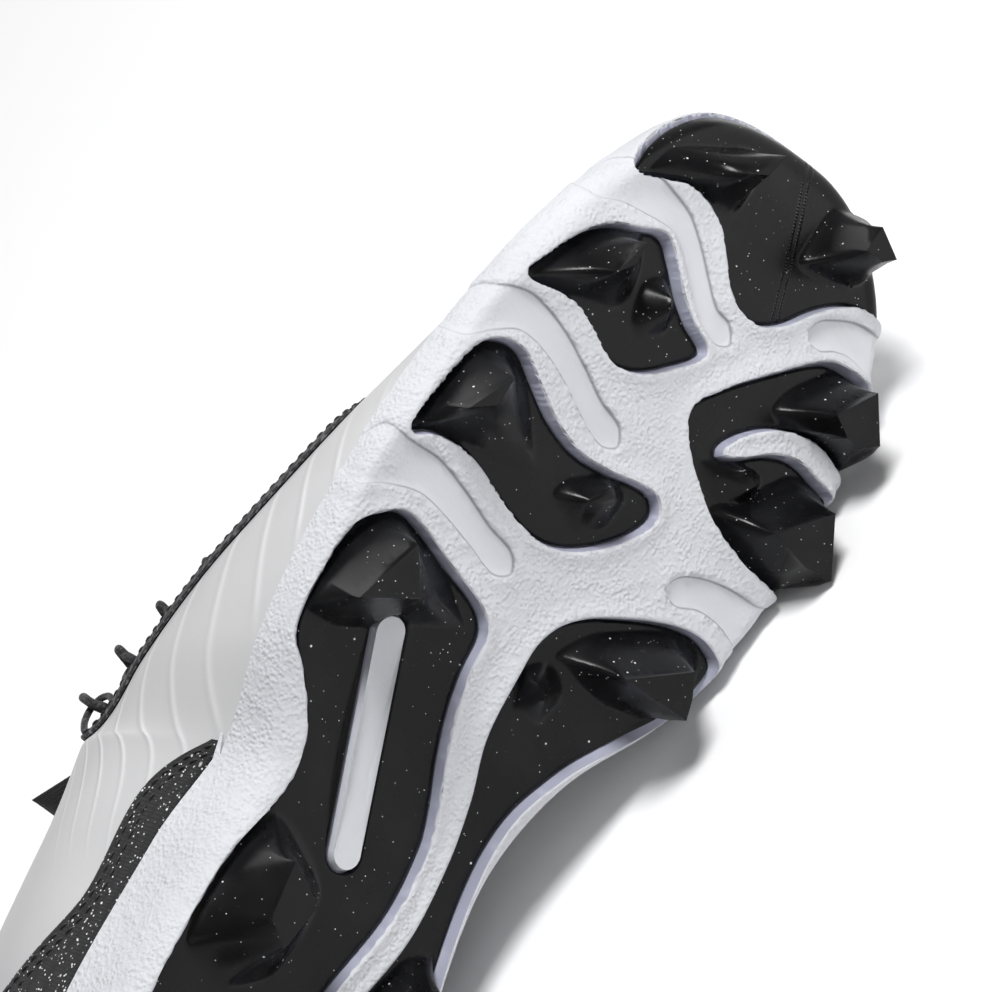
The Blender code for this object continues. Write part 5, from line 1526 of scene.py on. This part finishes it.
class Throat:
    """The upper's top edge on both sides of the throat, read at any x."""

    def __init__(self):
        rows = upper_rows(FINE)
        normals = row_normals(rows)
        top = rows[-1, :, 0]
        outer = int(np.argmax(top < THROAT_END * LENGTH))
        inner = len(top) - int(np.argmax(top[::-1] < THROAT_END * LENGTH))
        self.sides = (np.arange(0, outer), np.arange(len(top), inner, -1) % len(top))
        self.rows, self.normals = rows, normals

    def at(self, values, side, key, x):
        """A row's values where its key, which falls along the side, passes x."""
        picked = values[self.sides[side]]
        place = -key[self.sides[side]]
        return np.array([np.interp(-x, place, picked[:, axis]) for axis in range(3)])

    def frame(self, side, x):
        """A point of the top edge with its directions: rearward, down the side, off the face."""
        key = self.rows[-1, :, 0]
        point = self.at(self.rows[-1], side, key, x)
        below = self.at(self.rows[-2], side, key, x)
        ahead = self.at(self.rows[-1], side, key, x + 0.002)
        behind = self.at(self.rows[-1], side, key, x - 0.002)
        rear = Vector(behind - ahead).normalized()
        down = Vector(below - point).normalized()
        away = Vector(self.at(self.normals[-1], side, key, x)).normalized()
        return Vector(point), rear, down, away

    def section(self, x):
        """The upper's outer face cut at x across the throat: points from side to side."""
        found = []
        for side in (0, 1):
            for row in (-3, -2, -1):
                line = self.rows[row]
                if x <= line[0, 0]:
                    found.append(self.at(line, side, line[:, 0], x)[1:])
        column = self.rows[LOW_ROWS:, 0]
        if x > self.rows[-1, 0, 0]:
            place = -column[:, 0]
            found.append([np.interp(-x, place, column[:, axis]) for axis in (1, 2)])
        else:
            edges = [self.at(self.rows[-1], side, self.rows[-1, :, 0], x) for side in (0, 1)]
            middle = (edges[0] + edges[1]) / 2
            found.append([middle[1], middle[2] + TONGUE_CROWN])
        return np.array(sorted(found, key=lambda point: point[0]))


def tongue_sections(throat):
    """The tongue's top and bottom lines at a run of sections from the vamp to its free end."""
    sections, across = [], TONGUE_POINTS
    sink = UPPER_WALL + 4 * FIT
    for x in np.linspace(TONGUE_FRONT * LENGTH, THROAT_END * LENGTH, TONGUE_SECTIONS):
        line = throat.section(x)
        narrow = 1.0 - TONGUE_NARROWING * smooth_step((TONGUE_WAIST - x / LENGTH) / 0.1)
        ys = np.linspace(line[0, 0], line[-1, 0], across) * narrow
        zs = np.interp(ys, line[:, 0], line[:, 1])
        zs[1:-1] = (zs[:-2] + 2 * zs[1:-1] + zs[2:]) / 4 - FIT
        slope = np.gradient(zs, ys)
        off = np.column_stack([-slope, np.ones(across)]) / np.sqrt(1 + slope**2)[:, None]
        flat = np.column_stack([ys, zs])
        sections.append((x, flat - off * sink, flat - off * (sink + TONGUE_WALL)))
    last_x, high, low = sections[-1]
    for step in (1, 2, 3):
        share = step / 3
        rise = (0.0, TONGUE_TOP * share)
        back = last_x - TONGUE_TOP * 0.7 * share
        taper = (1 - 0.06 * share, 1)
        sections.append((back, high * taper + rise, low * taper + rise))
    return sections


def loop_places():
    """x of each lace loop, from the front of the throat up."""
    return np.linspace(LOOPS_FRONT * LENGTH, LOOPS_REAR * LENGTH, LOOP_COUNT)


def loop_nose(throat, side, x):
    """Middle of the raised nose of a lace loop, with the directions of the edge there."""
    point, rear, down, away = throat.frame(side, x)
    return point + away * NOSE_HEIGHT, rear, down, away


def round_nose(throat, side, x):
    """The lace's way round a loop's nose: under it, up behind it and back over it."""
    nose, rear, down, away = loop_nose(throat, side, x)
    radius = (LOOP_CORD + LACE_CORD) / 2 + LACE_FIT
    points = []
    for turn in np.linspace(-math.pi / 2, math.pi / 2, 5):
        shift = rear * radius * 0.35 * (turn / (math.pi / 2))
        around = nose + down * radius * math.cos(turn) + away * radius * math.sin(turn)
        points.append(around + shift)
    return points


def crossing(throat, x):
    """Where the lace lies on the middle of the tongue."""
    line = throat.section(x)
    middle = line[len(line) // 2]
    lift = LACE_CORD / 2 + 4 * FIT - UPPER_WALL
    return Vector((x, middle[0], middle[1] + lift))

# %% The padded tongue
TONGUE_ROWS = 96


def tongue_piece():
    sections = tongue_sections(THROAT)
    xs = np.array([x for x, _, _ in sections])
    high = np.array([[(x, *point) for point in line] for x, line, _ in sections])
    low = np.array([[(x, *point) for point in line] for x, _, line in sections])
    places = np.arange(len(xs))
    wanted = np.linspace(0, len(xs) - 1, TONGUE_ROWS)

    def dense(grid):
        flat = grid.reshape(len(grid), -1)
        columns = [np.interp(wanted, places, column) for column in flat.T]
        return np.array(columns).T.reshape(len(wanted), -1, 3)

    high, low = dense(high), dense(low)
    for _ in range(6):
        for grid in (high, low):
            grid[1:-1] = (grid[:-2] + 2 * grid[1:-1] + grid[2:]) / 4
    across = np.linspace(-1.0, 1.0, high.shape[1])
    thick = np.sqrt(np.clip(1.0 - across**6, 0.0, 1.0)) * 0.5
    end = np.clip((len(wanted) - 1 - np.arange(len(wanted))) / 6.0, 0.0, 1.0)
    thick = thick[None] * np.sqrt(1.0 - (1.0 - end) ** 2 + 1e-6)[:, None]
    middle = (high + low) / 2
    outer = middle + (high - low) * thick[..., None]
    inner = middle - (high - low) * thick[..., None]
    bm = sheet_of(np.concatenate([outer, inner[:, ::-1]], axis=1), True)
    close_ends(bm)
    bmesh.ops.remove_doubles(bm, verts=bm.verts, dist=1e-6)
    piece = finish("padded_tongue", bm, LINING, ["tongue"], sharp=70.0)
    return piece


THROAT = Throat()
tongue_piece()

# %% Lace loops
def smooth_path(points, steps):
    """A Catmull-Rom curve through the points."""
    points = np.array([tuple(point) for point in points], float)
    padded = np.concatenate([2 * points[:1] - points[1:2], points, 2 * points[-1:] - points[-2:-1]])
    t = np.linspace(0.0, 1.0, steps, endpoint=False)[:, None]
    path = []
    for a, b, c, d in zip(padded, padded[1:], padded[2:], padded[3:]):
        path.append(0.5 * (2 * b + (c - a) * t + (2 * a - 5 * b + 4 * c - d) * t**2
                           + (3 * b - a - 3 * c + d) * t**3))
    return np.concatenate([*path, points[-1:]])


def loop_piece(side, label, number, x):
    nose, rear, down, away = loop_nose(THROAT, side, x)
    half = LOOP_SPAN / 2
    path = []
    for turn_at in np.linspace(-math.pi / 2, math.pi / 2, 7):
        reach = math.cos(turn_at)
        path.append(nose + rear * half * math.sin(turn_at) + down * half * 1.5 * (1 - reach)
                    - away * LOOP_DROP * (1 - reach))
    foot = down * LOOP_CORD * 0.8 - away * LOOP_CORD * 0.5
    path = [path[0] + foot, *path, path[-1] + foot]
    bm = bmesh.new()
    add_tube(bm, smooth_path(path, 6), LOOP_CORD / 2, 14)
    return finish(f"cord_loop_{label}_{number}", bm, BRAID, [f"lace_loop_{label}_{number}"])


for loop_side, loop_label in enumerate(("outer", "inner")):
    for loop_number, loop_x in enumerate(loop_places(), start=1):
        loop_piece(loop_side, loop_label, loop_number, loop_x)

# %% The lace
def lace_piece():
    places = loop_places()
    bm = bmesh.new()
    for start in (0, 1):
        path = [crossing(THROAT, places[0])]
        for number, x in enumerate(places):
            side = (number + start) % 2
            path += round_nose(THROAT, side, x)
            if number + 1 < len(places):
                over = crossing(THROAT, (x + places[number + 1]) / 2)
                path.append(over + Vector((0, 0, LACE_CORD * 0.45 * (1 if start else 0))))
        add_tube(bm, smooth_path(path, 8), LACE_CORD / 2, 16)
    return finish("running_lace", bm, BRAID, ["lace"])


lace_piece()

# %% [markdown]
# ## Inside the shoe
# A cloth-covered insole lies in the dish of the foam, and a padded lining rolls over the
# collar.

# %% Insole
INSOLE_COLUMNS = 288
INSOLE_NET = 0.004
INSOLE_ROUNDING = 0.0015
INSOLE_CUP = 0.0012
CUP_WIDTH = 0.012


def insole_piece():
    ring = Ring(INSOLE_COLUMNS)
    rows = upper_rows(ring)
    outline = offset_rows(rows, -UPPER_WALL - FIT)[0][:, :2] - ring.out * FIT
    flat, faces = fine_net(outline, [grown(outline, -0.001), grown(outline, -0.003)], INSOLE_NET)
    from_rim = distance_to(outline, flat)
    edge = np.clip(from_rim / INSOLE_ROUNDING, 0.0, 1.0)
    cup = INSOLE_CUP * (1.0 - np.clip(from_rim / CUP_WIDTH, 0.0, 1.0)) ** 2
    floor = footbed_height(flat[:, 0])
    crown = np.sqrt(1.0 - (1.0 - edge) ** 2)
    bm = bmesh.new()
    top = floor + FIT + INSOLE_WALL * (0.55 + 0.45 * crown) + cup
    made = add_net(bm, np.column_stack([flat, top]), faces, flat)
    plans, moved = extruded(bm, made, flat)
    for vert, height in zip(moved, footbed_height(plans[:, 0]) + FIT):
        vert.co.z = height
    return finish("cloth_insole", bm, LINING, ["insole"], sharp=60.0)


insole_piece()

# %% Padded lining
LINING_WALL = 0.0010
LINING_GAP = 0.00005
COLLAR_PAD = 0.0045
COLLAR_PAD_END = 0.40


def lining_piece():
    start, end = row_at(0.10), len(UPPER) - 1
    share = np.linspace(0.0, 1.0, end - start + 1)
    x = UPPER[-1, :, 0] / LENGTH
    rear = smooth_step((COLLAR_PAD_END - x) / 0.10)
    roll = np.sqrt(1.0 - np.clip((share - 0.88) / 0.12, 0.0, 1.0) ** 2)
    pad = smooth_step((share - 0.45) / 0.25) * roll
    thick = LINING_WALL + COLLAR_PAD * pad[:, None] * rear[None]
    normals = UPPER_NORMALS[start:end + 1]
    near = UPPER[start:end + 1] - normals * (UPPER_WALL + LINING_GAP)
    far = near - normals * thick[..., None]
    bm = shell_between(near, far, True)
    piece = finish("collar_lining", bm, LINING, sharp=70.0)
    return piece


lining_piece()

# %% [markdown]
# ## Studio
# The shoe lies on a plain pale floor under large soft lights, so that the black plates
# show broad, soft highlights and the foam keeps its shadows light.

# %% Floor and lights
def floor_piece():
    material, tree, shader = material_with("pale_floor", (0.95, 0.95, 0.955), 0.9)
    where = coordinates(tree)
    grain = noise(tree, where, 40.0, 2.0)
    tree.links.new(ramp(tree, grain, 0.3, 0.7, 0.86, 0.92), shader.inputs["Roughness"])
    bm = bmesh.new()
    bmesh.ops.create_grid(bm, x_segments=2, y_segments=2, size=4.0)
    mesh = bpy.data.meshes.new("floor")
    bm.to_mesh(mesh)
    bm.free()
    mesh.materials.append(material)
    floor = bpy.data.objects.new("floor", mesh)
    bpy.context.scene.collection.objects.link(floor)


def area_light(name, place, target, size, power):
    data = bpy.data.lights.new(name, "AREA")
    data.shape = "DISK"
    data.size = size
    data.energy = power
    lamp = bpy.data.objects.new(name, data)
    lamp.location = place
    lamp.rotation_euler = (Vector(target) - Vector(place)).to_track_quat("-Z", "Y").to_euler()
    bpy.context.scene.collection.objects.link(lamp)


floor_piece()
area_light("key", (0.40, -0.50, 1.25), (0.0, 0.0, 0.05), 0.45, 18.0)
area_light("front", (-0.9, -1.3, 0.8), (0.0, 0.0, 0.05), 1.2, 1.5)
area_light("rear", (0.7, 0.9, 1.2), (0.0, 0.0, 0.05), 1.0, 6.0)
world = bpy.data.worlds.new("studio")
world.use_nodes = True
world.node_tree.nodes["Background"].inputs["Color"].default_value = (1.0, 1.0, 1.0, 1.0)
world.node_tree.nodes["Background"].inputs["Strength"].default_value = 0.25
bpy.context.scene.world = world
bpy.context.scene.view_settings.view_transform = "Standard"

# %% [markdown]
# ## Camera
# The camera looks up at the sole from beside the heel, rolled as in the picture. Its
# place is held in the shoe's own frame.

# %% The camera
CAMERA_PLACE = Vector((-0.039590, -0.481944, -0.719021))
CAMERA_LOOK = Vector((0.256634, 0.512961, 0.819152))
CAMERA_UP = Vector((0.834608, -0.545030, 0.079826))
LENS = 155.14


def add_camera():
    data = bpy.data.cameras.new("camera")
    data.lens = LENS
    data.sensor_width = 36.0
    data.clip_end = 20.0
    camera = bpy.data.objects.new("camera", data)
    look = CAMERA_LOOK.normalized()
    right = look.cross(CAMERA_UP).normalized()
    pose = Matrix((right, right.cross(look), -look)).transposed().to_4x4()
    pose.translation = CAMERA_PLACE
    camera.matrix_world = SHOE_TO_SCENE @ pose
    bpy.context.scene.collection.objects.link(camera)
    bpy.context.scene.camera = camera


add_camera()
